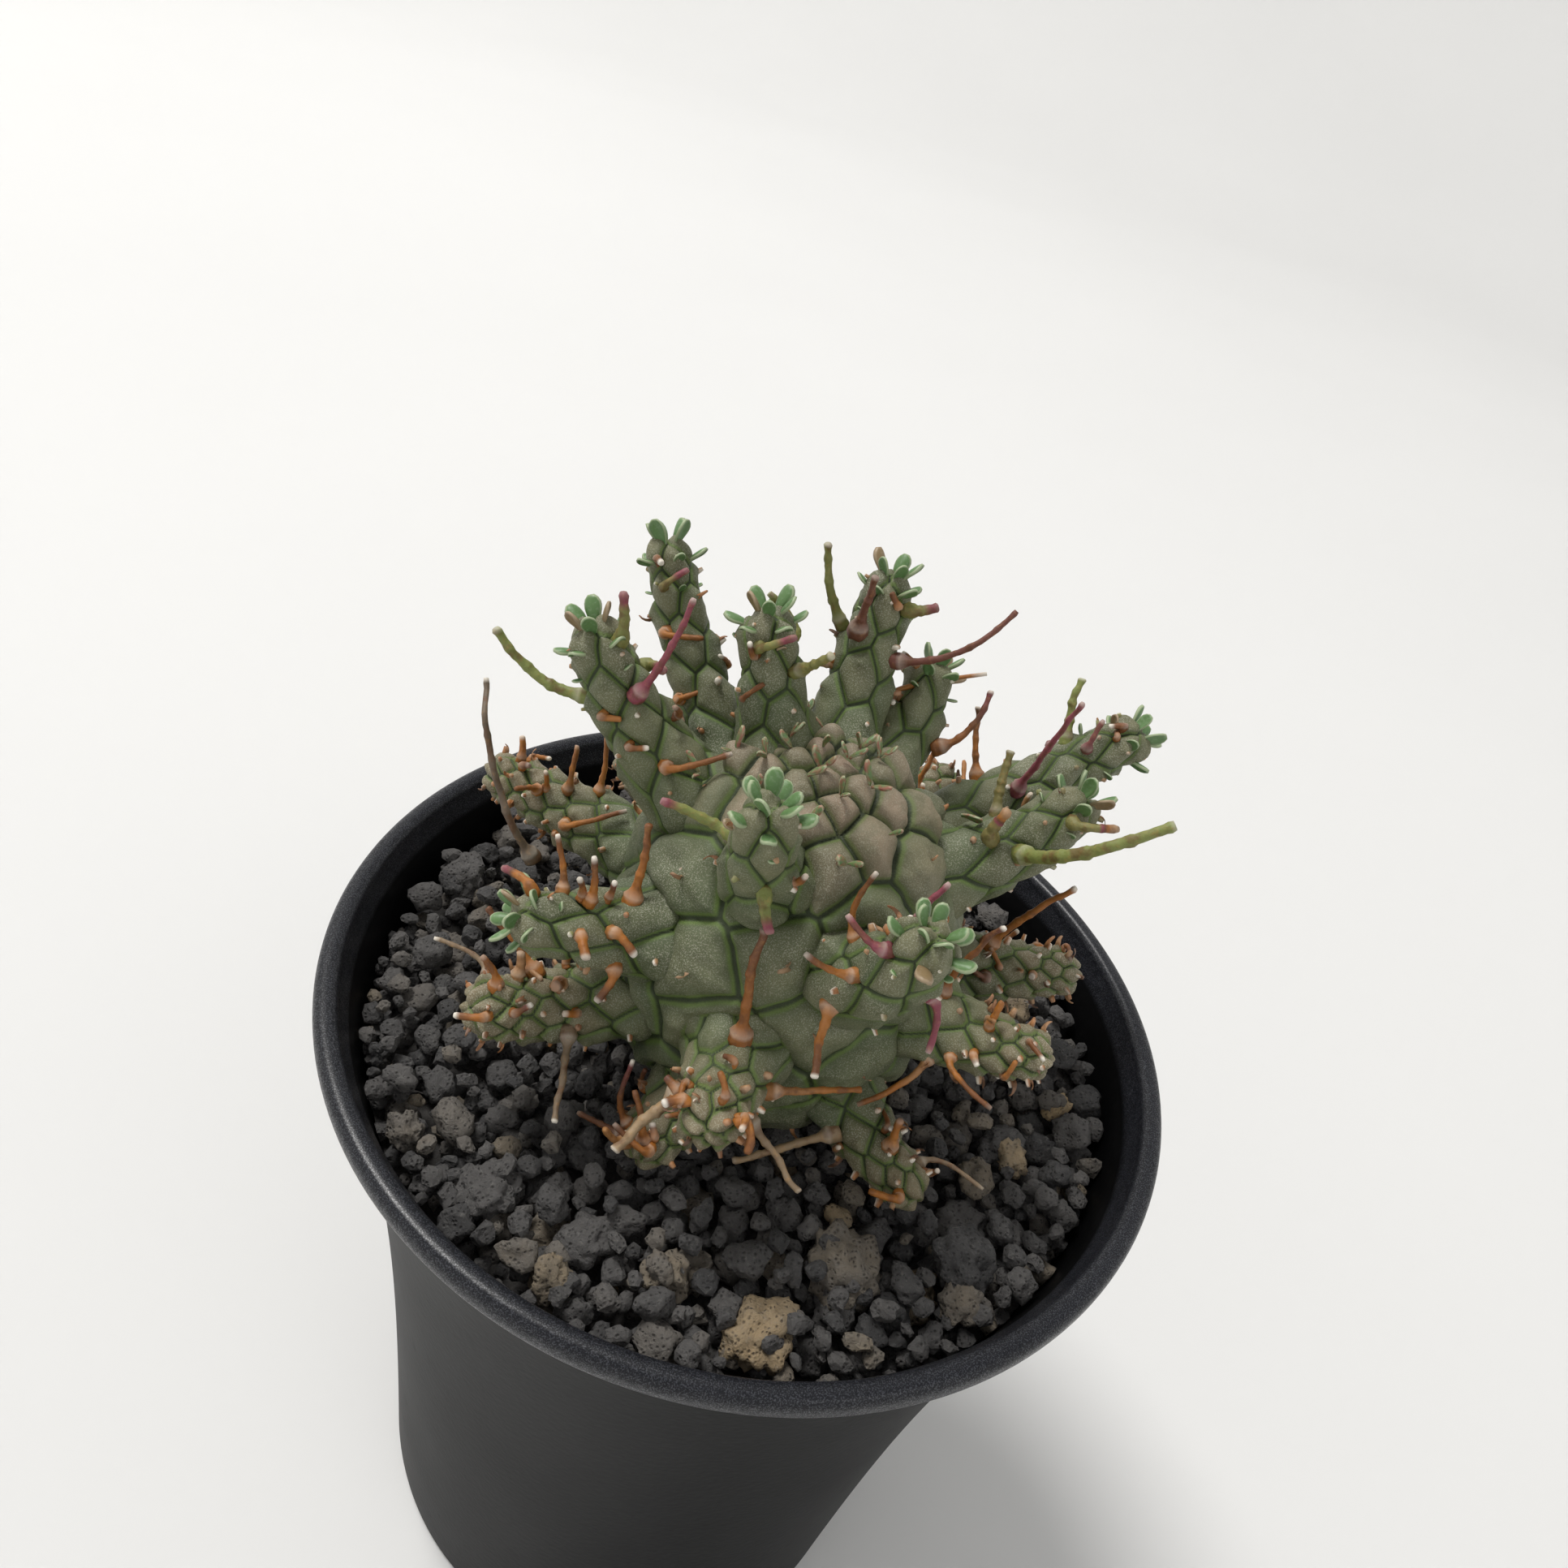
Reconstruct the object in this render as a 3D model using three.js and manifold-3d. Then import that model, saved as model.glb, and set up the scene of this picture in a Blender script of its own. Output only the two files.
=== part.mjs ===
// Potted euphorbia: a round grey-green caudex with short arms, planted in gravel in a flared plastic pot.
// Millimetres, +Z up. The origin is under the middle of the pot, on the surface that it stands on.
import * as THREE from "three";
import { mergeVertices } from "three/addons/utils/BufferGeometryUtils.js";
import Module from "manifold-3d";

const wasm = await Module();
wasm.setup();

// Clearance between pieces that touch.
const gap = 0.3;

// Pot: a straight taper plus a flare towards the lip.
const pot = {
  height: 112,
  rimRadius: 54,
  baseRadius: 41.4,
  flare: 8,
  flareReach: 35,
  wall: 1.2,
  floor: 1.8,
  lipTall: 3.4,
  lipWide: 2.8,
  lipOverhang: 2.6,
  footRecess: 2,
  footWide: 5,
  edgeRound: 0.8,
  drainHoles: 6,
  drainRadius: 4,
  drainRing: 24,
};

// What fills the pot, measured down from the top of the rim.
const fill = { gravelDrop: 7, gravelDepth: 12, bump: 0.6 };

// Caudex: an egg standing on a root. Heights are above the rim, places are from the pot's middle.
const egg = { x: 0.5, y: -3, lift: 11, radius: 20, halfHeight: 26, neckDrop: 20, rootLength: 32 };

// Arms. base: where on the egg the arm leaves it, as azimuth and rise in degrees from the egg's centre.
// heading: the way from there to the arm's end, as azimuth and rise. radii: at the base and by the end.
const arms = [
  { name: "back_left", base: [150, 52], heading: [145, 48], length: 23, radii: [3.8, 2.3], leaves: 5 },
  { name: "left_upper", base: [-175, 50], heading: [-180, 50], length: 19, radii: [4.8, 2.9], leaves: 6 },
  { name: "back_centre", base: [144, 70], heading: [150, 68], length: 12, radii: [4, 3], leaves: 6 },
  { name: "back_right", base: [90, 66], heading: [90, 66], length: 17.5, radii: [4.4, 2.6], leaves: 6 },
  { name: "right_upper", base: [62, 58], heading: [72, 52], length: 11, radii: [4, 2.5], leaves: 5 },
  { name: "right_back", base: [38, 36], heading: [33, 30], length: 26.5, radii: [4.2, 2.7], leaves: 6 },
  { name: "right_mid", base: [12, 40], heading: [20, 42], length: 15, radii: [4.8, 3], leaves: 5 },
  { name: "front_crown", base: [-104, 54], heading: [-98, 64], length: 13.5, radii: [4.4, 2.5], leaves: 5 },
  { name: "left_back", base: [170, 8], heading: [170, 6], length: 18.5, radii: [4.8, 2.8], leaves: 0 },
  { name: "left_mid", base: [-138, 18], heading: [-146, 16], length: 12, radii: [5, 3.1], leaves: 5 },
  { name: "left_low", base: [-140, -14], heading: [-145, 6], length: 15, radii: [4.8, 3.3], leaves: 0 },
  { name: "front_low", base: [-92, -2], heading: [-92, 6], length: 8, radii: [5.2, 3.8], leaves: 0 },
  {
    name: "front_right_low", base: [-45, -28], heading: [-42, -8],
    length: 11, radii: [4.2, 2.8], leaves: 0,
  },
  { name: "front_right", base: [-60, 34], heading: [-52, 58], length: 13, radii: [4.8, 3.1], leaves: 5 },
  { name: "right_low", base: [-22, 4], heading: [-15, 12], length: 12, radii: [4.8, 2.9], leaves: 0 },
  { name: "right_low_back", base: [12, -2], heading: [12, 6], length: 15, radii: [4.6, 2.8], leaves: 0 },
  { name: "left_bottom", base: [-105, -32], heading: [-107, -10], length: 7, radii: [4.4, 3.2], leaves: 0 },
  { name: "far_right", base: [65, 12], heading: [62, 12], length: 14, radii: [4.6, 3], leaves: 0 },
  { name: "far_back", base: [100, 4], heading: [100, 8], length: 13, radii: [4.6, 3], leaves: 0 },
  { name: "far_left", base: [140, 2], heading: [138, 4], length: 13, radii: [4.6, 3], leaves: 0 },
  { name: "far_low", base: [70, -28], heading: [70, -8], length: 10, radii: [4.2, 3], leaves: 0 },
];
const armSink = 2.5; // how far an arm's start lies inside the egg before it is cut off at its skin
const armOutward = 0.45; // share of an arm's length over which it first grows straight out
const armSides = 10;
const armRings = 5;
const domeRings = 2;

// Leaf tufts at the arms' ends.
const leaf = { length: 4.6, width: 2.2, thick: 1, tilt: 42, core: 1.7, sides: 6 };

// Old flower stalks. at: the place on the arm, as a share of its length and as degrees from its upper
// side. to: the way to the stalk's end. bow: the share of its length that it first grows straight out.
const stalks = [
  { on: "left_upper", at: [0.8, 180], to: [180, 20], length: 12, radius: 0.9, bow: 0.5, tint: "green" },
  { on: "left_upper", at: [0.8, -30], to: [0, 70], length: 13, radius: 0.6, bow: 0.3, tint: "purple" },
  { on: "back_centre", at: [0.8, 0], to: [-30, 45], length: 6, radius: 0.8, bow: 0.4, tint: "green" },
  { on: "back_right", at: [0.8, -90], to: [180, 60], length: 10, radius: 0.8, bow: 0.3, tint: "green" },
  { on: "back_right", at: [0.8, -30], to: [-90, 75], length: 8, radius: 0.7, bow: 0.2, tint: "brown" },
  { on: "back_right", at: [0.7, 60], to: [0, 40], length: 15, radius: 0.6, bow: 0.5, tint: "brown" },
  { on: "right_upper", at: [0.6, 90], to: [30, 50], length: 9, radius: 0.6, bow: 0.5, tint: "orange" },
  { on: "right_back", at: [0.4, -60], to: [120, 50], length: 9, radius: 0.6, bow: 0.2, tint: "orange" },
  { on: "right_back", at: [0.5, 30], to: [-60, 75], length: 16, radius: 0.6, bow: 0.2, tint: "purple" },
  { on: "right_back", at: [0.8, -30], to: [105, 60], length: 8, radius: 0.8, bow: 0.2, tint: "green" },
  { on: "right_mid", at: [0.7, 60], to: [-30, 45], length: 18, radius: 1.1, bow: 0.5, tint: "green" },
  { on: "right_mid", at: [0.6, -60], to: [105, 55], length: 8, radius: 0.8, bow: 0.2, tint: "green" },
  { on: "front_low", at: [0.4, 0], to: [120, 80], length: 14, radius: 0.8, bow: 0.2, tint: "orange" },
  { on: "front_low", at: [0.8, 120], to: [-135, -35], length: 9, radius: 0.9, bow: 0.3, tint: "pale" },
  { on: "front_low", at: [0.8, -120], to: [-30, -20], length: 9, radius: 0.6, bow: 0.2, tint: "brown" },
  { on: "front_low", at: [0.5, -90], to: [15, 10], length: 10, radius: 0.6, bow: 0.2, tint: "orange" },
  { on: "front_right", at: [0.3, 120], to: [-90, -25], length: 8, radius: 0.7, bow: 0.2, tint: "orange" },
  { on: "right_low", at: [0.3, 0], to: [15, 75], length: 12, radius: 0.6, bow: 0.4, tint: "orange" },
  { on: "right_low_back", at: [0.5, 0], to: [0, 65], length: 14, radius: 0.7, bow: 0.2, tint: "orange" },
  { on: "front_right_low", at: [0.4, 90], to: [-150, -15], length: 12, radius: 0.7, bow: 0.2, tint: "pale" },
  { on: "left_back", at: [0.6, -90], to: [180, 60], length: 21, radius: 0.7, bow: 0.6, tint: "dead" },
  { on: "left_mid", at: [0.4, 0], to: [90, 70], length: 9, radius: 0.7, bow: 0.2, tint: "orange" },
  { on: "left_low", at: [0.8, 30], to: [165, 40], length: 9, radius: 0.6, bow: 0.2, tint: "orange" },
  { on: "left_low", at: [0.6, -90], to: [-75, -20], length: 10, radius: 0.6, bow: 0.2, tint: "dead" },
];
const stalk = { collar: 1.9, collarFoot: 0.8, collarLong: 1.4, knob: 1.25, sides: 6, rings: 5 };

const tints = {
  green: 0x7f8f45,
  purple: 0x6b3540,
  brown: 0x4f3626,
  orange: 0xa8672f,
  pale: 0xa88e6c,
  dead: 0x3d3229,
};
const paint = (color, roughness) => new THREE.MeshStandardMaterial({ color, roughness, metalness: 0 });
const potBlack = paint(0x17181a, 0.45);
const soilBrown = paint(0x3b2e24, 0.95);
const gravelGrey = paint(0x4a4846, 0.95);
const skinGreen = paint(0x66745f, 0.6);
const leafGreen = paint(0x5f8a5a, 0.55);

const object = new THREE.Group();

function add(name, solid, material) {
  const mesh = new THREE.Mesh(geometryOf(solid), material);
  mesh.name = name;
  object.add(mesh);
}

// Between three.js geometry and manifold-3d solids.
function solidOf(geometry) {
  geometry.deleteAttribute("normal");
  geometry.deleteAttribute("uv");
  const merged = mergeVertices(geometry, 1e-4);
  const vertProperties = merged.attributes.position.array;
  const triVerts = new Uint32Array(merged.index.array);
  return new wasm.Manifold(new wasm.Mesh({ numProp: 3, vertProperties, triVerts }));
}

function geometryOf(solid) {
  const mesh = solid.getMesh();
  const geometry = new THREE.BufferGeometry();
  geometry.setAttribute("position", new THREE.BufferAttribute(mesh.vertProperties, 3));
  geometry.setIndex(new THREE.BufferAttribute(mesh.triVerts, 1));
  geometry.computeVertexNormals();
  return geometry;
}

// A body of revolution about +Z. points: [radius, height] pairs.
function turned(points, sides) {
  const outline = points.map(([radius, height]) => new THREE.Vector2(radius, height));
  return new THREE.LatheGeometry(outline, sides).rotateX(Math.PI / 2);
}

// The unit vector of an azimuth and a rise in degrees.
function toward([azimuth, rise]) {
  const a = THREE.MathUtils.degToRad(azimuth);
  const r = THREE.MathUtils.degToRad(rise);
  return new THREE.Vector3(Math.cos(r) * Math.cos(a), Math.cos(r) * Math.sin(a), Math.sin(r));
}

// The direction across a tangent at an angle from its upper side.
function across(tangent, angle) {
  const upper = new THREE.Vector3(0, 0, 1).addScaledVector(tangent, -tangent.z).normalize();
  return upper.applyAxisAngle(tangent, THREE.MathUtils.degToRad(angle));
}

// A round body along a curve. points: [radius, distance] pairs, from the curve's start.
function grown(curve, points, sides) {
  const outline = points.map(([radius, distance]) => new THREE.Vector2(radius, distance));
  const geometry = new THREE.LatheGeometry(outline, sides);
  const position = geometry.attributes.position;
  const length = curve.getLength();
  const vertex = new THREE.Vector3();
  for (let i = 0; i < position.count; i++) {
    vertex.fromBufferAttribute(position, i);
    const share = THREE.MathUtils.clamp(vertex.y / length, 0, 1);
    const tangent = curve.getTangentAt(share);
    const place = curve.getPointAt(share).addScaledVector(tangent, vertex.y - share * length);
    place.addScaledVector(across(tangent, 0), vertex.x).addScaledVector(across(tangent, 90), -vertex.z);
    position.setXYZ(i, place.x, place.y, place.z);
  }
  return geometry;
}

// Pot.
const lipBottom = pot.height - pot.lipTall;
const underLip = pot.rimRadius - pot.lipOverhang;
const floorTop = pot.footRecess + pot.floor;

function outerRadius(height) {
  const flareAt = (z) => pot.flare * Math.exp((z - lipBottom) / pot.flareReach);
  const taper = underLip - pot.baseRadius - pot.flare + flareAt(0);
  return pot.baseRadius - flareAt(0) + (taper * height) / lipBottom + flareAt(height);
}

const innerRadius = (height) => outerRadius(height) - pot.wall;

function wallPoints(radiusAt, from, to, steps) {
  return Array.from({ length: steps + 1 }, (_, i) => {
    const height = from + ((to - from) * i) / steps;
    return [radiusAt(height), height];
  });
}

function arcPoints([radius, height], [wide, tall], [fromAngle, toAngle], steps) {
  return Array.from({ length: steps + 1 }, (_, i) => {
    const angle = THREE.MathUtils.degToRad(fromAngle + ((toAngle - fromAngle) * i) / steps);
    return [radius + wide * Math.cos(angle), height + tall * Math.sin(angle)];
  });
}

function makePot() {
  const footInner = pot.baseRadius - pot.footWide;
  const beadMiddle = [pot.rimRadius - pot.lipWide / 2, lipBottom + pot.lipTall / 2];
  const beadSize = [pot.lipWide / 2, pot.lipTall / 2];
  const shell = turned(
    [
      [0, pot.footRecess],
      [footInner - pot.footRecess / 2, pot.footRecess],
      [footInner, 0],
      [pot.baseRadius - pot.edgeRound, 0],
      ...wallPoints(outerRadius, pot.edgeRound, lipBottom, 6),
      ...arcPoints(beadMiddle, beadSize, [-60, 180], 8),
      ...wallPoints(innerRadius, lipBottom, floorTop + pot.edgeRound, 6),
      [innerRadius(floorTop) - pot.edgeRound, floorTop],
      [0, floorTop],
    ],
    40,
  );
  let solid = solidOf(shell);
  for (let i = 0; i < pot.drainHoles; i++) {
    const drill = new THREE.CylinderGeometry(pot.drainRadius, pot.drainRadius, 4 * floorTop, 12);
    const angle = ((i + 0.5) * 2 * Math.PI) / pot.drainHoles;
    drill.rotateX(Math.PI / 2).translate(pot.drainRing, 0, 0).rotateZ(angle);
    solid = solid.subtract(solidOf(drill));
  }
  return solid;
}

// Caudex.
const eggCentre = new THREE.Vector3(egg.x, egg.y, pot.height + egg.lift);

function eggSurface(direction) {
  const flat = Math.hypot(direction.x, direction.y) / egg.radius;
  const point = direction.clone().divideScalar(Math.hypot(flat, direction.z / egg.halfHeight));
  const sizes = new THREE.Vector3(egg.radius, egg.radius, egg.halfHeight);
  const normal = point.clone().divide(sizes).divide(sizes).normalize();
  return { point: point.add(eggCentre), normal };
}

// The egg's outline down to its neck, then the root's, each grown by extra.
function caudexPoints(extra, rings, rootRings) {
  const neckAngle = Math.asin(-egg.neckDrop / egg.halfHeight);
  const neckRadius = egg.radius * Math.cos(neckAngle);
  const points = [];
  for (let i = 0; i <= rings; i++) {
    const angle = neckAngle + ((Math.PI / 2 - neckAngle) * i) / rings;
    const slope = Math.atan2(Math.sin(angle) / egg.halfHeight, Math.cos(angle) / egg.radius);
    const radius = egg.radius * Math.cos(angle) + extra * Math.cos(slope);
    points.push([i === rings ? 0 : radius, egg.halfHeight * Math.sin(angle) + extra * Math.sin(slope)]);
  }
  for (let i = 1; i <= rootRings; i++) {
    const share = i / rootRings;
    const radius = i === rootRings ? 0 : neckRadius * (1 - share) ** 0.8 + extra;
    points.unshift([radius, -egg.neckDrop - egg.rootLength * share - (i === rootRings ? extra : 0)]);
  }
  return points;
}

function makeCaudex(extra) {
  return solidOf(turned(caudexPoints(extra, 10, 4), 28).translate(...eggCentre));
}

// Potting mix and the gravel on it.
const gravelTop = pot.height - fill.gravelDrop;
const gravelBottom = gravelTop - fill.gravelDepth;

function makeMix(cavity) {
  const bottom = floorTop + gap;
  const top = gravelBottom - gap;
  const sideAt = (height) => innerRadius(height) - gap;
  const side = wallPoints(sideAt, bottom + pot.edgeRound, top, 5);
  const plug = turned([[0, bottom], [sideAt(bottom) - pot.edgeRound, bottom], ...side, [0, top]], 36);
  return solidOf(plug).subtract(cavity);
}

// With extra, the layer's surface is that much higher.
function makeGravel(extra) {
  const sideAt = (height) => innerRadius(height) - gap;
  const rings = 7;
  const top = gravelTop + extra;
  const surface = Array.from({ length: rings }, (_, i) => [sideAt(gravelTop) * (1 - i / rings), top]);
  const underside = [[0, gravelBottom], [sideAt(gravelBottom), gravelBottom]];
  const layer = turned([...underside, ...surface, [0, top]], 36);
  const position = layer.attributes.position;
  for (let i = 0; i < position.count; i++) {
    const x = position.getX(i);
    const y = position.getY(i);
    const lift = fill.bump * Math.sin(0.31 * x + 0.4) * Math.cos(0.27 * y - 0.2);
    if (position.getZ(i) > gravelTop - gap) position.setZ(i, top + lift);
  }
  return solidOf(layer);
}

// Arms.
function armCurve(arm) {
  const { point, normal } = eggSurface(toward(arm.base));
  const start = point.clone().addScaledVector(normal, -armSink);
  const bend = point.clone().addScaledVector(normal, armOutward * arm.length);
  const end = point.clone().addScaledVector(toward(arm.heading), arm.length);
  return new THREE.QuadraticBezierCurve3(start, bend, end);
}

function armRadius(arm, share) {
  return THREE.MathUtils.lerp(arm.radii[0], arm.radii[1], share);
}

function makeArm(arm, curve, extra) {
  const domeHeight = arm.radii[1];
  const length = curve.getLength();
  const points = [[0, -extra]];
  for (let i = 0; i <= armRings; i++) {
    const share = i / armRings;
    points.push([armRadius(arm, share) + extra, i ? length * share : -extra]);
  }
  for (let i = 1; i <= domeRings; i++) {
    const angle = ((Math.PI / 2) * i) / domeRings;
    const radius = i === domeRings ? 0 : (arm.radii[1] + extra) * Math.cos(angle);
    points.push([radius, length + (domeHeight + extra) * Math.sin(angle)]);
  }
  return solidOf(grown(curve, points, armSides));
}

// Leaves: petal-like blades round a small core that sits on the arm's end.
function makeTuft(arm, curve) {
  const axis = curve.getTangent(1);
  const foot = curve.getPoint(1).addScaledVector(axis, arm.radii[1] + gap);
  const core = new THREE.SphereGeometry(leaf.core, leaf.sides, leaf.sides / 2);
  let tuft = solidOf(core.translate(foot.x, foot.y, foot.z));
  for (let i = 0; i < arm.leaves; i++) {
    const side = across(axis, (360 * i) / arm.leaves + 20);
    const tilt = THREE.MathUtils.degToRad(i % 2 ? leaf.tilt : leaf.tilt / 2);
    const grow = axis.clone().multiplyScalar(Math.cos(tilt)).addScaledVector(side, Math.sin(tilt));
    const width = new THREE.Vector3().crossVectors(grow, side).normalize();
    const thick = new THREE.Vector3().crossVectors(width, grow);
    const blade = new THREE.SphereGeometry(0.5, leaf.sides, leaf.sides / 2);
    blade.scale(leaf.width, leaf.length, leaf.thick);
    const middle = foot.clone().addScaledVector(side, leaf.core / 2).addScaledVector(grow, leaf.length / 2);
    blade.applyMatrix4(new THREE.Matrix4().makeBasis(width, grow, thick).setPosition(middle));
    tuft = tuft.add(solidOf(blade));
  }
  return tuft.subtract(makeArm(arm, curve, gap));
}

// Old flower stalks: a thin bowed rod with a swollen collar at the arm and a knob at the end.
function makeStalk(item, arm, curve) {
  const [share, turn] = item.at;
  const outward = across(curve.getTangentAt(share), turn);
  const start = curve.getPointAt(share).addScaledVector(outward, armRadius(arm, share));
  const bend = start.clone().addScaledVector(outward, item.bow * item.length);
  const end = start.clone().addScaledVector(toward(item.to), item.length);
  const path = new THREE.QuadraticBezierCurve3(start, bend, end);
  const length = path.getLength();
  const collar = item.radius * stalk.collar;
  // The collar is widest halfway up, so that a cut across its foot leaves no loose corner.
  const points = [[0, 0], [stalk.collarFoot * collar, 0], [collar, stalk.collarLong / 2]];
  for (let i = 0; i <= stalk.rings; i++) {
    const distance = THREE.MathUtils.lerp(stalk.collarLong, length - item.radius, i / stalk.rings);
    points.push([item.radius * (i === stalk.rings ? stalk.knob : 1), distance]);
  }
  points.push([0, length]);
  return solidOf(grown(path, points, stalk.sides));
}

const cavity = makeCaudex(gap);
add("pot", makePot(), potBlack);
add("potting_mix", makeMix(cavity), soilBrown);
add("gravel", makeGravel(0).subtract(cavity), gravelGrey);
add("caudex", makeCaudex(0), skinGreen);

// What is already there, grown by the gap. Each arm and stalk is cut clear of it.
let taken = makeCaudex(gap).add(makeGravel(gap));
const curves = new Map();
for (const arm of arms) {
  const curve = armCurve(arm);
  curves.set(arm.name, curve);
  add(`arm_${arm.name}`, makeArm(arm, curve, 0).subtract(taken), skinGreen);
  if (arm.leaves) add(`leaves_${arm.name}`, makeTuft(arm, curve), leafGreen);
  taken = taken.add(makeArm(arm, curve, gap));
}

const counts = new Map();
for (const item of stalks) {
  const arm = arms.find((one) => one.name === item.on);
  const count = (counts.get(item.on) ?? 0) + 1;
  counts.set(item.on, count);
  const solid = makeStalk(item, arm, curves.get(item.on)).subtract(taken);
  add(`stalk_${item.on}_${count}`, solid, paint(tints[item.tint], 0.7));
}

export default object;
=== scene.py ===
import math
import random

import bmesh
import bpy
import numpy as np
from mathutils import Matrix, Vector, noise


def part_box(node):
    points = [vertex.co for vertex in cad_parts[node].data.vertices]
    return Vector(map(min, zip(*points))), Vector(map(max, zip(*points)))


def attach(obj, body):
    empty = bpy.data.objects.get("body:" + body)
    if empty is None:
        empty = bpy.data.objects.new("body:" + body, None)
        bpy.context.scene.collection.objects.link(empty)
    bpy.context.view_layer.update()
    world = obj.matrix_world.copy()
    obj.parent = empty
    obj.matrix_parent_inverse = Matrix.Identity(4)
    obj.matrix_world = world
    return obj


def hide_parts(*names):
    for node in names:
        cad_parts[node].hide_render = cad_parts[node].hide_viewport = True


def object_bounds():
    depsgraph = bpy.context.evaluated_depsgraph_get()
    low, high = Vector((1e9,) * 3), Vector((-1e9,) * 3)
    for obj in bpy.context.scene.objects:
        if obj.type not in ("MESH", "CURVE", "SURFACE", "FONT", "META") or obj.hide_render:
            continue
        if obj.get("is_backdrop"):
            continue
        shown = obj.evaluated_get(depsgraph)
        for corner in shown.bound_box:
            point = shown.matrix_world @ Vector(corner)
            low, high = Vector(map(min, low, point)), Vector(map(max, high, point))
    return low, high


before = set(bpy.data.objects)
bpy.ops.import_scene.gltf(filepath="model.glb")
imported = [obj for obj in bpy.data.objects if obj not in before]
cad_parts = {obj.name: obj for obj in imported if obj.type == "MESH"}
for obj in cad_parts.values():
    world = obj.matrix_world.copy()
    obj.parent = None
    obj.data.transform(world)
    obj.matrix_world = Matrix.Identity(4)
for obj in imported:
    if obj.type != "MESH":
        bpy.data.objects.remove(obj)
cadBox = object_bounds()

mm = 0.001  # shapes are worked out in millimetres and stored in metres
goldenAngle = math.pi * (3 - math.sqrt(5))


# camera, floor and light
view = {"eye": (0, -108, 222), "down": 36.4, "turn": -2.2, "roll": 16.2, "lens": 27.02, "sensor": 36}
studio = {
    "floorRadius": 1.6, "sweep": 1.0, "wallTop": 2.6, "world": 0.33, "aim": (0, 0, 0.1),
    # each light's place, size, power and colour
    "key": ((-1.3, 0.6, 3.0), 1.1, 80, (1, 0.985, 0.96)),
    "fill": ((1.4, -1.2, 1.9), 1.4, 5, (1, 1, 1)),
}


def makeCamera():
    data = bpy.data.cameras.new("camera")
    data.lens = view["lens"]
    data.sensor_width = view["sensor"]
    data.clip_start = 0.01
    turn = Matrix.Rotation(math.radians(-view["turn"]), 4, "Z")
    tilt = Matrix.Rotation(math.radians(90 - view["down"]), 4, "X")
    roll = Matrix.Rotation(math.radians(view["roll"]), 4, "Z")
    camera = bpy.data.objects.new("camera", data)
    camera.matrix_world = Matrix.Translation(Vector(view["eye"]) * mm) @ turn @ tilt @ roll
    bpy.context.collection.objects.link(camera)
    bpy.context.scene.camera = camera


def areaLight(name, place, size, power, colour):
    data = bpy.data.lights.new(name, "AREA")
    data.shape = "DISK"
    data.size = size
    data.energy = power
    data.color = colour
    light = bpy.data.objects.new(name, data)
    light.location = place
    light.rotation_euler = (Vector(studio["aim"]) - Vector(place)).to_track_quat("-Z", "Y").to_euler()
    bpy.context.collection.objects.link(light)


# One wrapped socket. Its arithmetic adds Math nodes, so shader maths reads as an expression.
class Value:
    def __init__(self, shader, socket):
        self.shader = shader
        self.socket = socket

    def math(self, operation, first, second):
        return self.shader.node("ShaderNodeMath", {"operation": operation}, {0: first, 1: second})

    def __add__(self, other):
        return self.math("ADD", self, other)

    def __radd__(self, other):
        return self.math("ADD", other, self)

    def __sub__(self, other):
        return self.math("SUBTRACT", self, other)

    def __rsub__(self, other):
        return self.math("SUBTRACT", other, self)

    def __mul__(self, other):
        return self.math("MULTIPLY", self, other)

    def __rmul__(self, other):
        return self.math("MULTIPLY", other, self)


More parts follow.
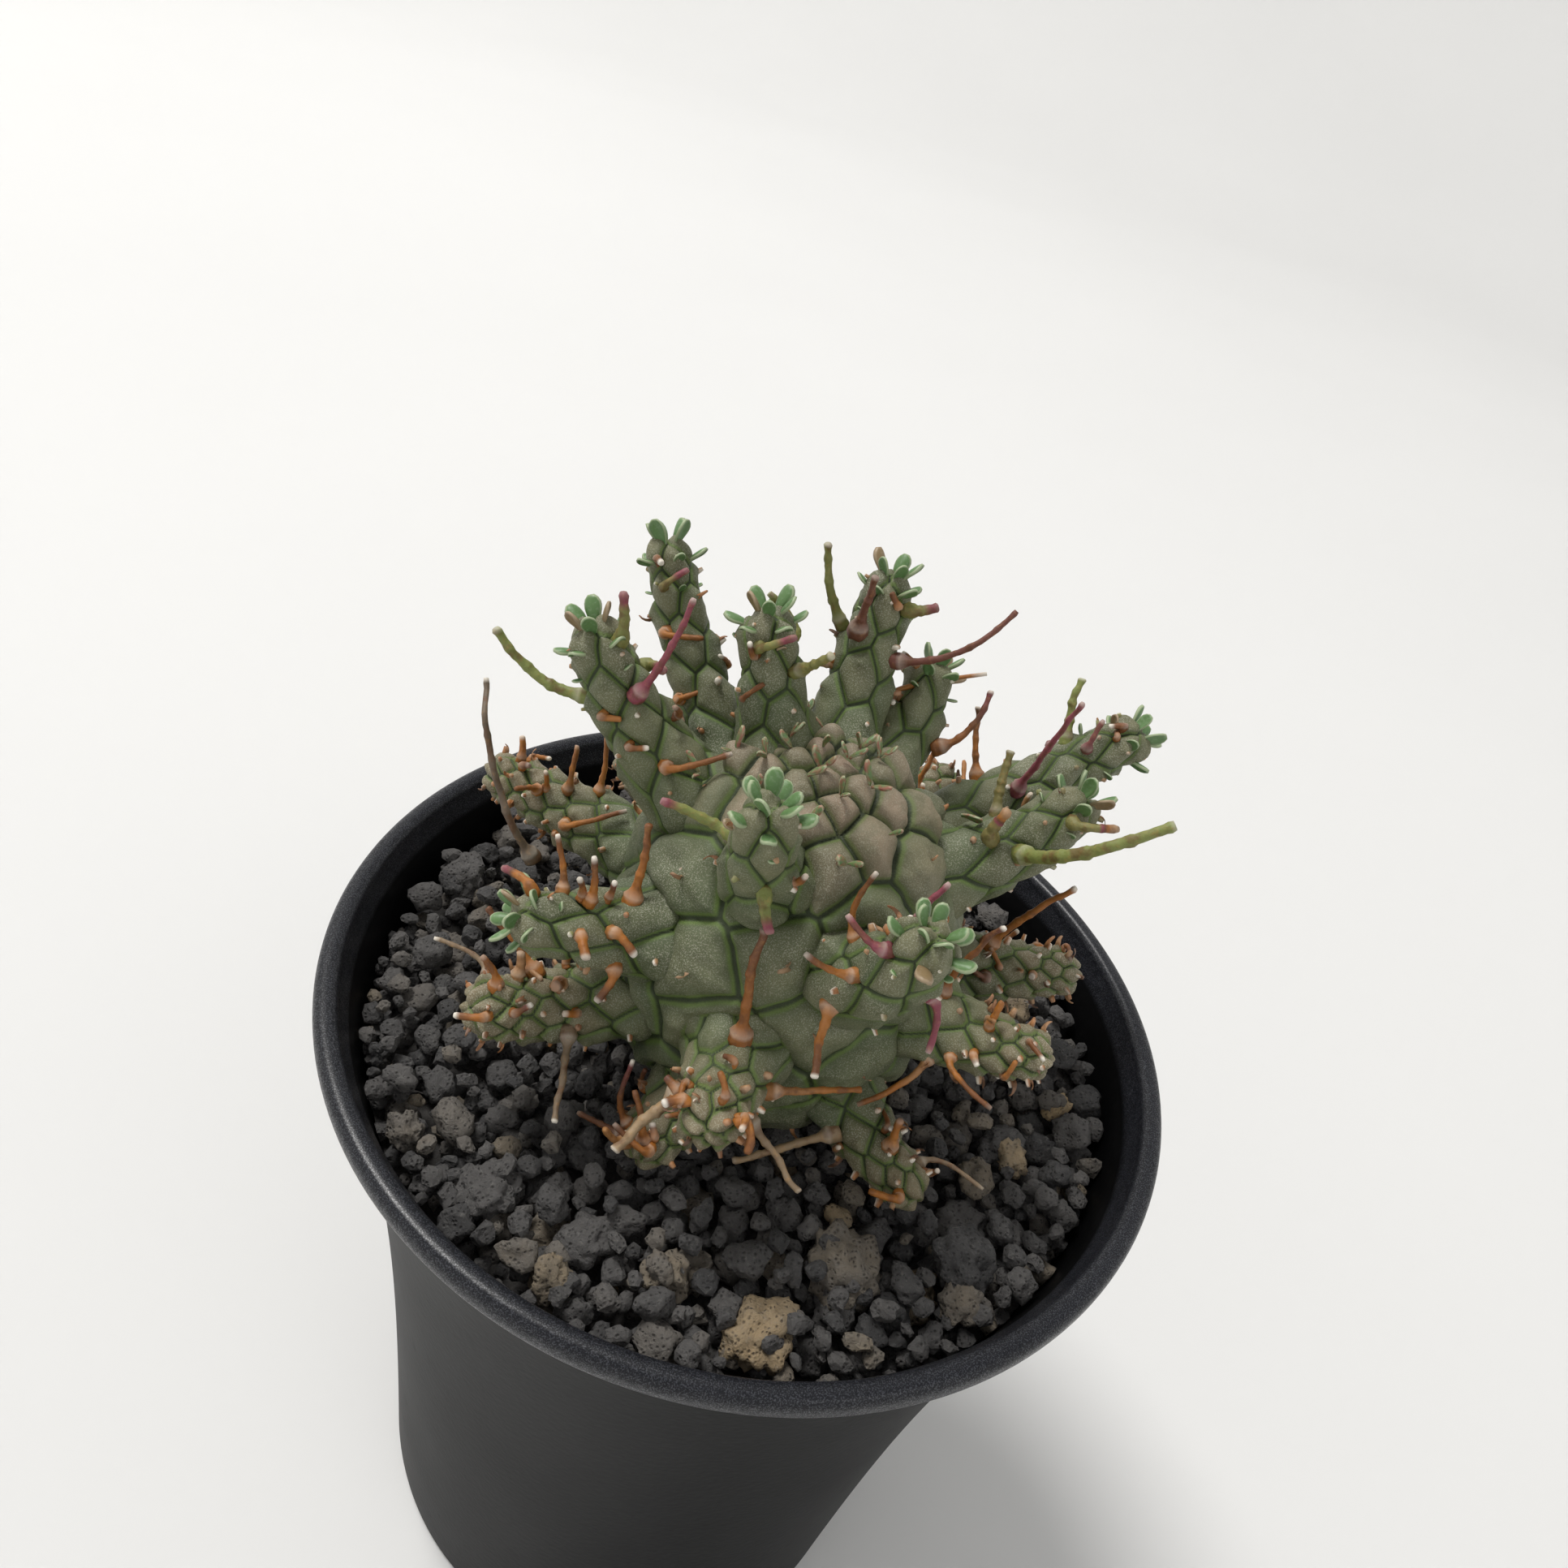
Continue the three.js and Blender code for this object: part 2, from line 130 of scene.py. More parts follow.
class Shader:
    def __init__(self, name):
        self.material = bpy.data.materials.new(name)
        self.material.use_nodes = True
        self.tree = self.material.node_tree
        self.surface = self.tree.nodes["Principled BSDF"]
        self.place = self.node("ShaderNodeTexCoord", output="Object")

    def node(self, kind, settings=None, sockets=None, output=0):
        made = self.tree.nodes.new(kind)
        for key, value in (settings or {}).items():
            if key == "stops":
                self.setStops(made.color_ramp, value)
            else:
                setattr(made, key, value)
        for key, value in (sockets or {}).items():
            self.feed(made.inputs[key], value)
        return Value(self, made.outputs[output])

    def setStops(self, ramp, stops):
        while len(ramp.elements) < len(stops):
            ramp.elements.new(1)
        for element, (position, colour) in zip(ramp.elements, stops):
            element.position = position
            element.color = (*colour, 1)

    def feed(self, socket, value):
        if isinstance(value, Value):
            self.tree.links.new(value.socket, socket)
        elif isinstance(value, tuple) and len(value) == 3 and socket.type == "RGBA":
            socket.default_value = (*value, 1)
        else:
            socket.default_value = value

    def noise(self, scale, detail=2, roughness=0.5):
        sockets = {"Vector": self.place, "Scale": scale, "Detail": detail, "Roughness": roughness}
        return self.node("ShaderNodeTexNoise", {}, sockets, "Fac")

    def cells(self, scale, feature="F1"):
        sockets = {"Vector": self.place, "Scale": scale}
        return self.node("ShaderNodeTexVoronoi", {"feature": feature}, sockets, "Distance")

    def attribute(self, name):
        return self.node("ShaderNodeAttribute", {"attribute_name": name}, {}, "Fac")

    def ramp(self, value, stops):
        return self.node("ShaderNodeValToRGB", {"stops": stops}, {"Fac": value})

    def step(self, value, low, high):
        sockets = {"Value": value, "From Min": low, "From Max": high}
        return self.node("ShaderNodeMapRange", {"interpolation_type": "SMOOTHSTEP"}, sockets)

    def mix(self, share, first, second):
        return self.node("ShaderNodeMix", {"data_type": "RGBA"}, {0: share, 6: first, 7: second}, 2)

    def finish(self, colour, roughness, height=None, depth=0.00005, strength=1.0, **fixed):
        self.feed(self.surface.inputs["Base Color"], colour)
        self.feed(self.surface.inputs["Roughness"], roughness)
        for name, value in fixed.items():
            self.feed(self.surface.inputs[name.replace("_", " ")], value)
        if height is not None:
            sockets = {"Height": height, "Distance": depth, "Strength": strength}
            self.feed(self.surface.inputs["Normal"], self.node("ShaderNodeBump", {}, sockets))
        return self.material


# materials
def potPlastic():
    s = Shader("potPlastic")
    height = s.node("ShaderNodeSeparateXYZ", {}, {"Vector": s.place}, "Z")
    rim = s.step(height, (rimTop - 4.2) * mm, (rimTop - 3.0) * mm)
    peel = s.cells(1150, "SMOOTH_F1")
    fine = s.noise(4200, 3)
    glintSpeck = s.step(s.noise(6500, 2), 0.46, 0.66)
    broad = s.noise(35, 3)
    dust = s.step(s.noise(260, 6, 0.7), 0.56, 0.8) * (rim * 0.1 + 0.2)
    colour = s.mix(broad, (0.003, 0.003, 0.0032), (0.005, 0.005, 0.0055))
    # the rim is painted a lighter bluish grey than the wall: a painted sheen, the reflection of the light
    # sky
    colour = s.mix(rim * (1 - broad * 0.5), colour, (0.011, 0.0118, 0.0155))
    # pale specks on the rim are painted glints; the same specks also vary the coat
    colour = s.mix(rim * glintSpeck * 0.6, colour, (0.05, 0.053, 0.066))
    colour = s.mix(dust * 0.5, colour, (0.09, 0.088, 0.086))
    gloss = broad * 0.1 + dust * 0.3 + 0.4
    grain = (peel * 0.7 + fine * 0.3) * (rim * 0.9 + 0.1)
    coat = rim * (glintSpeck * 0.6 + 0.35)
    return s.finish(colour, gloss, grain, 0.0003, 0.9, Coat_Weight=coat, Coat_Roughness=0.32,
                    Specular_IOR_Level=0.12, IOR=1.35)


def gravelStone():
    s = Shader("gravelStone")
    tone = s.attribute("tone")
    grain = s.noise(1500, 6, 0.72)
    blotch = s.noise(420, 3)
    pits = s.cells(1700)
    stops = [
        (0.0, (0.06, 0.059, 0.06)), (0.45, (0.13, 0.124, 0.12)), (0.7, (0.18, 0.162, 0.14)),
        (0.86, (0.27, 0.22, 0.155)), (1.0, (0.48, 0.35, 0.2)),
    ]
    colour = s.ramp(tone + (blotch - 0.5) * 0.2, stops)
    colour = s.mix(s.step(grain, 0.5, 0.78) * 0.45, colour, (0.3, 0.29, 0.27))
    # the pits' hollows are painted dark: painted shade in the recesses
    colour = s.mix((1 - s.step(pits, 0.05, 0.35)) * 0.6, colour, (0.028, 0.026, 0.025))
    return s.finish(colour, 0.93, grain * 0.9 + s.step(pits, 0.0, 0.45) * 0.6, 0.0007, 1.0)


def gravelDust():
    # a bed under the stones, darker than any stone: fine grit, with painted shade for the gaps between
    # stones
    s = Shader("gravelDust")
    colour = s.mix(s.noise(900, 5), (0.02, 0.019, 0.019), (0.07, 0.065, 0.06))
    return s.finish(colour, 0.95, s.noise(1300, 5), 0.0006)


def skin():
    s = Shader("skin")
    seam = s.attribute("seam")
    crown = s.attribute("crown")
    broad = s.noise(70, 3)
    fine = s.noise(6500, 2, 0.6)
    mottle = s.noise(380, 4, 0.6)
    colour = s.mix(s.step(broad, 0.3, 0.7), (0.148, 0.165, 0.08), (0.095, 0.122, 0.06))
    colour = s.mix(s.attribute("cell") * 0.4, colour, (0.225, 0.21, 0.12))
    colour = s.mix(crown, colour, (0.4, 0.27, 0.205))
    colour = s.mix(s.attribute("age"), colour, (0.235, 0.185, 0.11))
    colour = s.mix(s.step(mottle, 0.42, 0.7) * 0.4, colour, (0.08, 0.095, 0.045))
    colour = s.mix(s.attribute("shade") * 0.75, colour, (0.04, 0.066, 0.02))
    bloom = s.step(fine, 0.5, 0.64) * (1 - s.attribute("shade")) * (s.step(broad, 0.35, 0.65) * 0.35 + 0.3)
    colour = s.mix(bloom, colour, (0.46, 0.45, 0.36))
    # the yellow-green band beside each groove is the skin's own colour
    colour = s.mix(s.step(seam, 0.12, 0.55) * (1 - crown * 0.7) * 0.6, colour, (0.12, 0.2, 0.03))
    # the dark colour in the very groove and in the ring round each arm's foot is painted shade
    colour = s.mix(s.step(seam, 0.6, 0.95) * 0.9, colour, (0.016, 0.024, 0.008))
    gloss = 0.46 + mottle * 0.25
    return s.finish(colour, gloss, fine * 0.5 + mottle * 0.8, 0.00022, 0.8)


def leafSkin():
    s = Shader("leafSkin")
    edge = s.attribute("edge")
    colour = s.mix(s.noise(300, 3), (0.085, 0.18, 0.055), (0.14, 0.25, 0.095))
    colour = s.mix(s.step(s.noise(2600, 2), 0.5, 0.7) * 0.25, colour, (0.3, 0.4, 0.26))
    colour = s.mix(s.step(edge, 0.8, 1.0) * 0.6, colour, (0.5, 0.55, 0.36))
    colour = s.mix(s.attribute("blush"), colour, (0.36, 0.11, 0.085))
    return s.finish(colour, 0.45, s.noise(1800, 2), 0.00008, 0.5)


def stalkSkin():
    s = Shader("stalkSkin")
    kind = s.attribute("tone")
    stops = [
        (0.0, (0.2, 0.23, 0.06)), (0.2, (0.24, 0.05, 0.075)), (0.4, (0.12, 0.045, 0.02)),
        (0.6, (0.37, 0.13, 0.018)), (0.8, (0.36, 0.25, 0.14)), (1.0, (0.1, 0.075, 0.055)),
    ]
    streak = s.noise(1500, 4, 0.65)
    colour = s.ramp(kind, stops)
    colour = s.mix(s.step(streak, 0.5, 0.75) * 0.3, colour, (0.52, 0.27, 0.07))
    colour = s.mix(s.step(s.noise(600, 3), 0.48, 0.68) * 0.65, colour, (0.12, 0.045, 0.015))
    colour = s.mix(s.attribute("pale"), colour, (0.85, 0.8, 0.7))
    return s.finish(colour, 0.55, streak, 0.00018, 0.8)


def pottingMix():
    s = Shader("pottingMix")
    colour = s.mix(s.noise(600, 5), (0.02, 0.013, 0.008), (0.09, 0.06, 0.035))
    return s.finish(colour, 0.95, s.noise(700, 5), 0.0008)


# pieces
def makeObject(name, bm, material, smooth=True):
    mesh = bpy.data.meshes.new(name)
    bm.to_mesh(mesh)
    bm.free()
    mesh.materials.append(material)
    mesh.polygons.foreach_set("use_smooth", [smooth] * len(mesh.polygons))
    made = bpy.data.objects.new(name, mesh)
    bpy.context.collection.objects.link(made)
    return made


def addPiece(name, bm, material, nodes=(), smooth=True):
    piece = makeObject(name, bm, material, smooth)
    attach(piece, "root")
    if nodes:
        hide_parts(*nodes)
    return piece


def setAttributes(bm, **attributes):
    for name, values in attributes.items():
        layer = bm.verts.layers.float.get(name) or bm.verts.layers.float.new(name)
        for vert, value in zip(bm.verts, values):
            vert[layer] = float(value)


# A body of revolution about Z from (radius, height) points in millimetres, closed where it meets the axis.
def spun(points, steps):
    bm = bmesh.new()
    verts = [bm.verts.new((radius, 0, height)) for radius, height in points]
    edges = [bm.edges.new(pair) for pair in zip(verts, verts[1:])]
    bmesh.ops.spin(bm, geom=verts + edges, axis=(0, 0, 1), cent=(0, 0, 0), angle=2 * math.pi,
                   steps=steps, use_merge=True)
    bmesh.ops.remove_doubles(bm, verts=bm.verts, dist=1e-5)
    bmesh.ops.recalc_face_normals(bm, faces=bm.faces)
    return bm


# A mesh that is copied many times into a piece.
def blankMesh(make, *values):
    bm = bmesh.new()
    make(bm, *values)
    blank = bpy.data.meshes.new("blank")
    bm.to_mesh(blank)
    bm.free()
    return blank


def copyInto(bm, blank, matrix):
    copied = blank.copy()
    copied.transform(matrix)
    bm.from_mesh(copied)
    bpy.data.meshes.remove(copied)


def title(name):
    return "".join(word.capitalize() for word in name.split("_"))


def coordinates(bm):
    return np.array([vert.co for vert in bm.verts])


def place(bm, points):
    for vert, point in zip(bm.verts, points):
        vert.co = point


def smoothstep(low, high, value):
    share = np.clip((value - low) / (high - low), 0, 1)
    return share * share * (3 - 2 * share)


def unit(vectors):
    return vectors / np.maximum(np.linalg.norm(vectors, axis=-1, keepdims=True), 1e-9)


# A smooth curve from polynomial terms, the highest power first.
class Curve:
    def __init__(self, terms):
        self.terms = terms
        self.length = np.linalg.norm(np.diff(self.at(np.linspace(0, 1, 40)), axis=0), axis=1).sum()

    def at(self, share):
        share = np.atleast_1d(share)[:, None]
        return sum(term * share ** power for power, term in enumerate(self.terms[::-1]))

    # Places and side directions along the curve, turned as little as possible.
    def frames(self, shares):
        spots = self.at(shares)
        tangents = unit(self.at(shares + 0.005) - self.at(shares - 0.005))
        side = np.cross(tangents[0], (0, 0, 1))
        sides = []
        for tangent in tangents:
            side = unit(side - tangent * (side @ tangent))
            sides.append(side)
        sides = np.array(sides)
        return spots, tangents, sides, np.cross(tangents, sides)


# The middle line of a rod-like CAD node, from the end near a point to the far end.
class Line(Curve):
    def __init__(self, node, near, cuts=7, skip=0.16):
        bm = bmesh.new()
        bm.from_mesh(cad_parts[node].data)
        bmesh.ops.remove_doubles(bm, verts=bm.verts, dist=1e-6)
        points = coordinates(bm) / mm
        away = np.linalg.norm(points - near, axis=1)
        start = points[away < away.min() + 0.12 * np.ptp(away)].mean(0)
        end = points[away.argmax()]
        axis = unit(end - start)
        shares, middles, radii = [], [], []
        for share in np.linspace(skip, 0.88, cuts):
            spot = start + (end - start) * share
            cut = bmesh.ops.bisect_plane(bm, geom=bm.verts[:] + bm.edges[:] + bm.faces[:],
                                         plane_co=spot * mm, plane_no=axis)["geom_cut"]
            ring = np.array([item.co for item in cut if isinstance(item, bmesh.types.BMVert)]) / mm
            middle = (ring.min(0) + ring.max(0)) / 2
            shares.append(share)
            middles.append(middle)
            radii.append(np.linalg.norm(ring - middle, axis=1).mean())
        bm.free()
        self.radii = np.polyfit(shares, radii, 1)
        super().__init__(np.polyfit(shares, np.array(middles), 2))

    def radius(self, share):
        return np.polyval(self.radii, share)


# Bends a straight shape, standing on Z from 0 to the line's length, along the line.
def bend(points, line, samples=120):
    low = min(points[:, 2].min() / line.length, 0) - 0.01
    high = max(points[:, 2].max() / line.length, 1) + 0.01
    shares = np.linspace(low, high, samples)
    spots, tangents, sides, ups = line.frames(shares)
    share = points[:, 2] / line.length

    def along(values):
        return np.stack([np.interp(share, shares, values[:, i]) for i in range(3)], 1)

    return along(spots) + along(sides) * points[:, :1] + along(ups) * points[:, 1:2]


# For rows of distances: which few are nearest, in order, and those distances.
def nearestFew(gaps, count):
    order = np.argpartition(gaps, count - 1, axis=1)[:, :count]
    near = np.take_along_axis(gaps, order, 1)
    rank = near.argsort(axis=1)
    return np.take_along_axis(order, rank, 1), np.take_along_axis(near, rank, 1)


# For points on a surface and seeds in the same space: the nearest seed, the distance to it, and the
# distance to the border with the next one.
def nearestCells(points, seeds, chunk=6000):
    owner, reach, border = [], [], []
    for start in range(0, len(points), chunk):
        gaps = np.linalg.norm(points[start:start + chunk, None] - seeds[None], axis=2)
        order, near = nearestFew(gaps, 3)
        edges = [(near[:, k] ** 2 - near[:, 0] ** 2)
                 / np.maximum(2 * np.linalg.norm(seeds[order[:, 0]] - seeds[order[:, k]], axis=1), 1e-6)
                 for k in (1, 2)]
        owner.append(order[:, 0])
        reach.append(near[:, 0])
        border.append(np.minimum(*edges))
    return np.concatenate(owner), np.concatenate(reach), np.concatenate(border)


# pot
potShape = {
    "flare": 8, "flareReach": 35, "wall": 1.2, "floor": 1.8, "baseRadius": 41.4, "steps": 192,
    "lipTall": 3.4, "lipWide": 2.8, "lipOverhang": 2.6, "lipSquare": 2.6,
    "footRecess": 2, "footWide": 5, "round": 0.8, "drains": 6, "drainRadius": 4, "drainRing": 24,
}
potLow, potHigh = (np.array(corner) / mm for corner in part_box("pot"))
rimRadius = (potHigh[0] - potLow[0]) / 2
rimTop = potHigh[2]


def outerRadius(height):
    p = potShape
    lipBottom = rimTop - p["lipTall"]
    swell = p["flare"] * math.exp((height - lipBottom) / p["flareReach"])
    least = p["flare"] * math.exp(-lipBottom / p["flareReach"])
    taper = rimRadius - p["lipOverhang"] - p["baseRadius"] - p["flare"] + least
    return p["baseRadius"] - least + taper * height / lipBottom + swell


def innerRadius(height):
    return outerRadius(height) - potShape["wall"]


def makePot(material):
    p = potShape
    lipBottom = rimTop - p["lipTall"]
    floorTop = p["footRecess"] + p["floor"]
    footInner = p["baseRadius"] - p["footWide"]
    walls = np.linspace(0, 1, 25)
    points = [(0, p["footRecess"]), (footInner - 2.2, p["footRecess"])]
    points += [(footInner - 1.2, p["footRecess"] * 0.8), (footInner - 0.2, 0.25)]
    points += [(footInner + 0.3, 0), (p["baseRadius"] - 1.2, 0)]
    for angle in (0.5, 1.0, 1.35):
        points.append((outerRadius(0) - p["round"] + p["round"] * math.sin(angle),
                       p["round"] - p["round"] * math.cos(angle)))
    points += [(outerRadius(z), z) for z in 1 + (lipBottom - 1.5) * walls]
    beadMiddle = (rimRadius - p["lipWide"] / 2, lipBottom + p["lipTall"] / 2)
    for angle in np.radians(np.linspace(-105, 175, 22)):
        square = p["lipSquare"]
        squash = 1 / (abs(math.cos(angle)) ** square + abs(math.sin(angle)) ** square) ** (1 / square)
        points.append((beadMiddle[0] + p["lipWide"] / 2 * squash * math.cos(angle),
                       beadMiddle[1] + p["lipTall"] / 2 * squash * math.sin(angle)))
    points += [(innerRadius(z), z) for z in lipBottom + (floorTop + 1 - lipBottom) * walls]
    points += [(innerRadius(floorTop) - 1, floorTop), (0, floorTop)]
    bm = spun(points, p["steps"])
    place(bm, coordinates(bm) * mm)
    pot = addPiece("nurseryPot", bm, material, ["pot"])
    drill = bmesh.new()
    for k in range(p["drains"]):
        angle = (k + 0.5) * 2 * math.pi / p["drains"]
        spot = Vector((math.cos(angle), math.sin(angle), 0)) * p["drainRing"] * mm
        bmesh.ops.create_cone(drill, cap_ends=True, segments=40, radius1=p["drainRadius"] * mm,
                              radius2=p["drainRadius"] * mm, depth=0.02, matrix=Matrix.Translation(spot))
    cutPiece(pot, drill)


# Cuts a closed shape out of a piece, with the result applied.
def cutPiece(piece, cutter):
    mesh = bpy.data.meshes.new("cutter")
    cutter.to_mesh(mesh)
    cutter.free()
    tool = bpy.data.objects.new("cutter", mesh)
    bpy.context.collection.objects.link(tool)
    cut = piece.modifiers.new("cut", "BOOLEAN")
    cut.object = tool
    cut.operation = "DIFFERENCE"
    cut.solver = "EXACT"
    depsgraph = bpy.context.evaluated_depsgraph_get()
    result = bpy.data.meshes.new_from_object(piece.evaluated_get(depsgraph))
    piece.modifiers.clear()
    piece.data = result
    bpy.data.objects.remove(tool)
    bpy.data.meshes.remove(mesh)


# gravel
gravelShape = {
    "top": 105.0, "deep": 8, "seed": 7, "tries": 7, "tanShare": 0.02, "brownShare": 0.2,
    "bodyRoom": 13.2, "nestle": 0.9, "proud": 2.6, "wallGap": 0.25, "bedDrop": 5.6,
    # how many, least and most radius, fineness
    "sizes": ((52, 2.7, 4.2, 4), (430, 1.7, 2.7, 3), (1950, 0.8, 1.65, 2)),
    # larger stones at the top: bearing, distance from the middle, radius and tone
    "accents": (
        (-60, 36, 4.5, 0.75), (-75, 43, 4, 0.95), (-90, 39, 3, 0.8), (-105, 45, 2.5, 0.85),
        (-15, 38, 2.5, 0.9), (-45, 45, 2.5, 0.75), (-120, 42, 3.5, 0.35), (-135, 46, 2.5, 0.7),
        (170, 44, 3.5, 0.4), (0, 42, 2, 1), (65, 36, 3.5, 0.8), (140, 37, 3.5, 0.75),
        (25, 39, 3, 0.9), (100, 39, 3, 0.7),
    ),
}
eggLow, eggHigh = (np.array(corner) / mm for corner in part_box("caudex"))
eggAxis = (eggLow + eggHigh)[:2] / 2


def stoneTone(dice):
    draw = dice.random()
    if draw < gravelShape["tanShare"]:
        return dice.uniform(0.8, 1.0)
    if draw < gravelShape["tanShare"] + gravelShape["brownShare"]:
        return dice.uniform(0.55, 0.8)
    return dice.uniform(0.05, 0.5)


# Drops stones one by one onto those that already lie there, each into the lowest of a few places.
def dropStones(dice):
    g = gravelShape
    order = []
    for count, least, most, fineness in g["sizes"]:
        order += [(least + (most - least) * dice.random() ** 1.6, fineness) for _ in range(count)]
    dice.shuffle(order)
    bed = g["top"] - g["deep"]
    spots = np.zeros((len(order), 4))
    laid = 0
    for radius, fineness in order:
        best = None
        for _ in range(g["tries"]):
            reach = (innerRadius(g["top"]) - radius) * math.sqrt(dice.random())
            angle = dice.uniform(0, 2 * math.pi)
            x, y = reach * math.cos(angle), reach * math.sin(angle)
            if math.hypot(x - eggAxis[0], y - eggAxis[1]) < g["bodyRoom"] + radius:
                continue
            near = spots[:laid]
            flat = np.hypot(near[:, 0] - x, near[:, 1] - y)
            sums = (near[:, 3] + radius) * g["nestle"]
            touching = flat < sums
            height = bed + radius
            if touching.any():
                over = np.sqrt(sums[touching] ** 2 - flat[touching] ** 2)
                height = max(height, (near[touching, 2] + over).max())
            if best is None or height < best[2]:
                best = (x, y, height, radius, fineness)
        if best is None or best[2] + radius * 0.55 > g["top"] + g["proud"]:
            continue
        spots[laid] = best[:4]
        laid += 1
        yield (*best, stoneTone(dice))
    for bearing, distance, radius, tone in g["accents"]:
        x = distance * math.cos(math.radians(bearing))
        y = distance * math.sin(math.radians(bearing))
        yield x, y, g["top"] + 1.2 - 0.5 * radius, radius, 4, tone


# Cuts flats into a round shape, stretches it and scales it to a radius.
def roughen(points, radius, dice, facets):
    for _ in range(facets):
        facet = unit(np.array([dice.gauss(0, 1) for _ in range(3)]))
        over = points @ facet - dice.uniform(0.62, 0.9)
        points = points - np.outer(np.clip(over, 0, None) * 0.88, facet)
    stretch = [dice.uniform(0.9, 1.25), dice.uniform(0.75, 1.05), dice.uniform(0.65, 0.95)]
    return points * np.array(stretch) * radius


def makeStone(bm, fineness):
    bmesh.ops.create_icosphere(bm, subdivisions=fineness, radius=1)
    setAttributes(bm, tone=[0] * len(bm.verts))


def makeGravel(stoneMaterial, bedMaterial):
    g = gravelShape
    dice = random.Random(g["seed"])
    stones = {fineness: bmesh.new() for *_, fineness in g["sizes"]}
    blanks = {fineness: blankMesh(makeStone, fineness) for fineness in stones}
    rounds = {key: np.array([vert.co for vert in blank.vertices]) for key, blank in blanks.items()}
    wallHeights = np.linspace(g["top"] - 2 * g["deep"], g["top"] + g["deep"], 9)
    wallRadii = [innerRadius(height) for height in wallHeights]
    for x, y, z, radius, fineness, tone in dropStones(dice):
        blank = blanks[fineness]
        points = roughen(rounds[fineness], radius, dice, 9 if fineness > 2 else 7)
        turn = Matrix.Rotation(dice.uniform(0, 6.28), 3, "Z")
        turn = turn @ Matrix.Rotation(dice.uniform(-0.6, 0.6), 3, "X")
        points = points @ np.array(turn).T
        shift = Vector((dice.uniform(0, 90), dice.uniform(0, 90), 0))
        bumps = []
        for point in map(Vector, points):
            bump = noise.noise(point * 0.8 + shift) * 0.3 * radius
            bump += noise.noise(point * 1.9 + shift) * 0.3
            if fineness > 2:
                bump += noise.noise(point * 3.4 + shift) * 0.26 + noise.noise(point * 6.5 + shift) * 0.13
            bumps.append(bump)
        points += unit(points) * np.array(bumps)[:, None] + (x, y, z)
        # the sides that would pass through the pot's wall lie flat on it instead
        away = np.hypot(points[:, 0], points[:, 1])
        room = np.interp(points[:, 2], wallHeights, wallRadii) - g["wallGap"]
        points[:, :2] *= np.minimum(1, room / np.maximum(away, 1e-6))[:, None]
        blank.vertices.foreach_set("co", (points * mm).ravel())
        blank.attributes["tone"].data.foreach_set("value", [tone] * len(points))
        stones[fineness].from_mesh(blank)
    names = {4: "gravelLarge", 3: "gravelMedium", 2: "gravelSmall"}
    for fineness, bm in stones.items():
        addPiece(names[fineness], bm, stoneMaterial, smooth=fineness > 2)
    low = np.array(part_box("gravel")[0]) / mm
    bed = g["top"] - g["bedDrop"]
    side = innerRadius(bed) - 0.3
    rings = [(side * share, bed) for share in np.linspace(1, 0, 30)]
    bm = spun([(0, low[2]), (innerRadius(low[2]) - 0.3, low[2])] + rings, 120)
    points = coordinates(bm)
    for point in points:
        if point[2] > bed - 0.1:
            point[2] += noise.noise(Vector(point) * 0.5) * 0.9
    place(bm, points * mm)
    addPiece("gravelBed", bm, bedMaterial, ["gravel"])


# caudex
bodyShape = {
    "halfHeight": 26, "neckDrop": 20, "rootLength": 32, "steps": 360, "rowStep": 0.26,
    "crownCell": 3.3, "bodyCell": 11, "growFrom": 2, "growTo": 24, "crownReach": (10, 18),
    "crownBulge": 0.22, "groove": 0.4, "bulge": 0.085, "swell": 0.28, "purpleReach": (10, 22),
}
eggRadius = (eggHigh[0] - eggLow[0]) / 2
eggCentre = np.array((*eggAxis, eggHigh[2] - bodyShape["halfHeight"]))


# The caudex's outline from the crown down, as (radius, height, distance from the crown) rows.
def bodyOutline():
    b = bodyShape
    angles = np.linspace(math.pi / 2, math.asin(-b["neckDrop"] / b["halfHeight"]), 400)
    radius, height = eggRadius * np.cos(angles), b["halfHeight"] * np.sin(angles)
    reach = np.concatenate(([0], np.cumsum(np.hypot(np.diff(radius), np.diff(height)))))
    wanted = np.append(np.arange(0, reach[-1], b["rowStep"]), reach[-1])
    rows = np.stack([np.interp(wanted, reach, values) for values in (radius, height, reach)], 1)
    share = np.linspace(0, 1, 14)[1:]
    root = np.stack([rows[-1, 0] * (1 - share) ** 0.8, -b["neckDrop"] - b["rootLength"] * share,
                     reach[-1] + b["rootLength"] * share], 1)
    return np.vstack([rows, root])


# Tubercle centres in a golden-angle spiral down the caudex, small at the crown and large on the body.
def bodySeeds(outline):
    b = bodyShape
    dice = random.Random(3)
    reach, turn, seeds, sizes = 0.7, 0.0, [], []
    while reach < outline[-14, 2]:
        radius, height = (np.interp(reach, outline[:, 2], outline[:, k]) for k in (0, 1))
        grown = smoothstep(b["growFrom"], b["growTo"], reach)
        size = b["crownCell"] + (b["bodyCell"] - b["crownCell"]) * grown
        size *= dice.uniform(0.86, 1.14)
        swing = turn + dice.uniform(-0.2, 0.2) * size / max(radius, 1)
        seeds.append((radius * math.cos(swing), radius * math.sin(swing), height))
        sizes.append((size, reach))
        reach += size ** 2 / (2 * math.pi * max(radius, 0.8)) * 0.86
        turn += goldenAngle
    return np.array(seeds), np.array(sizes)


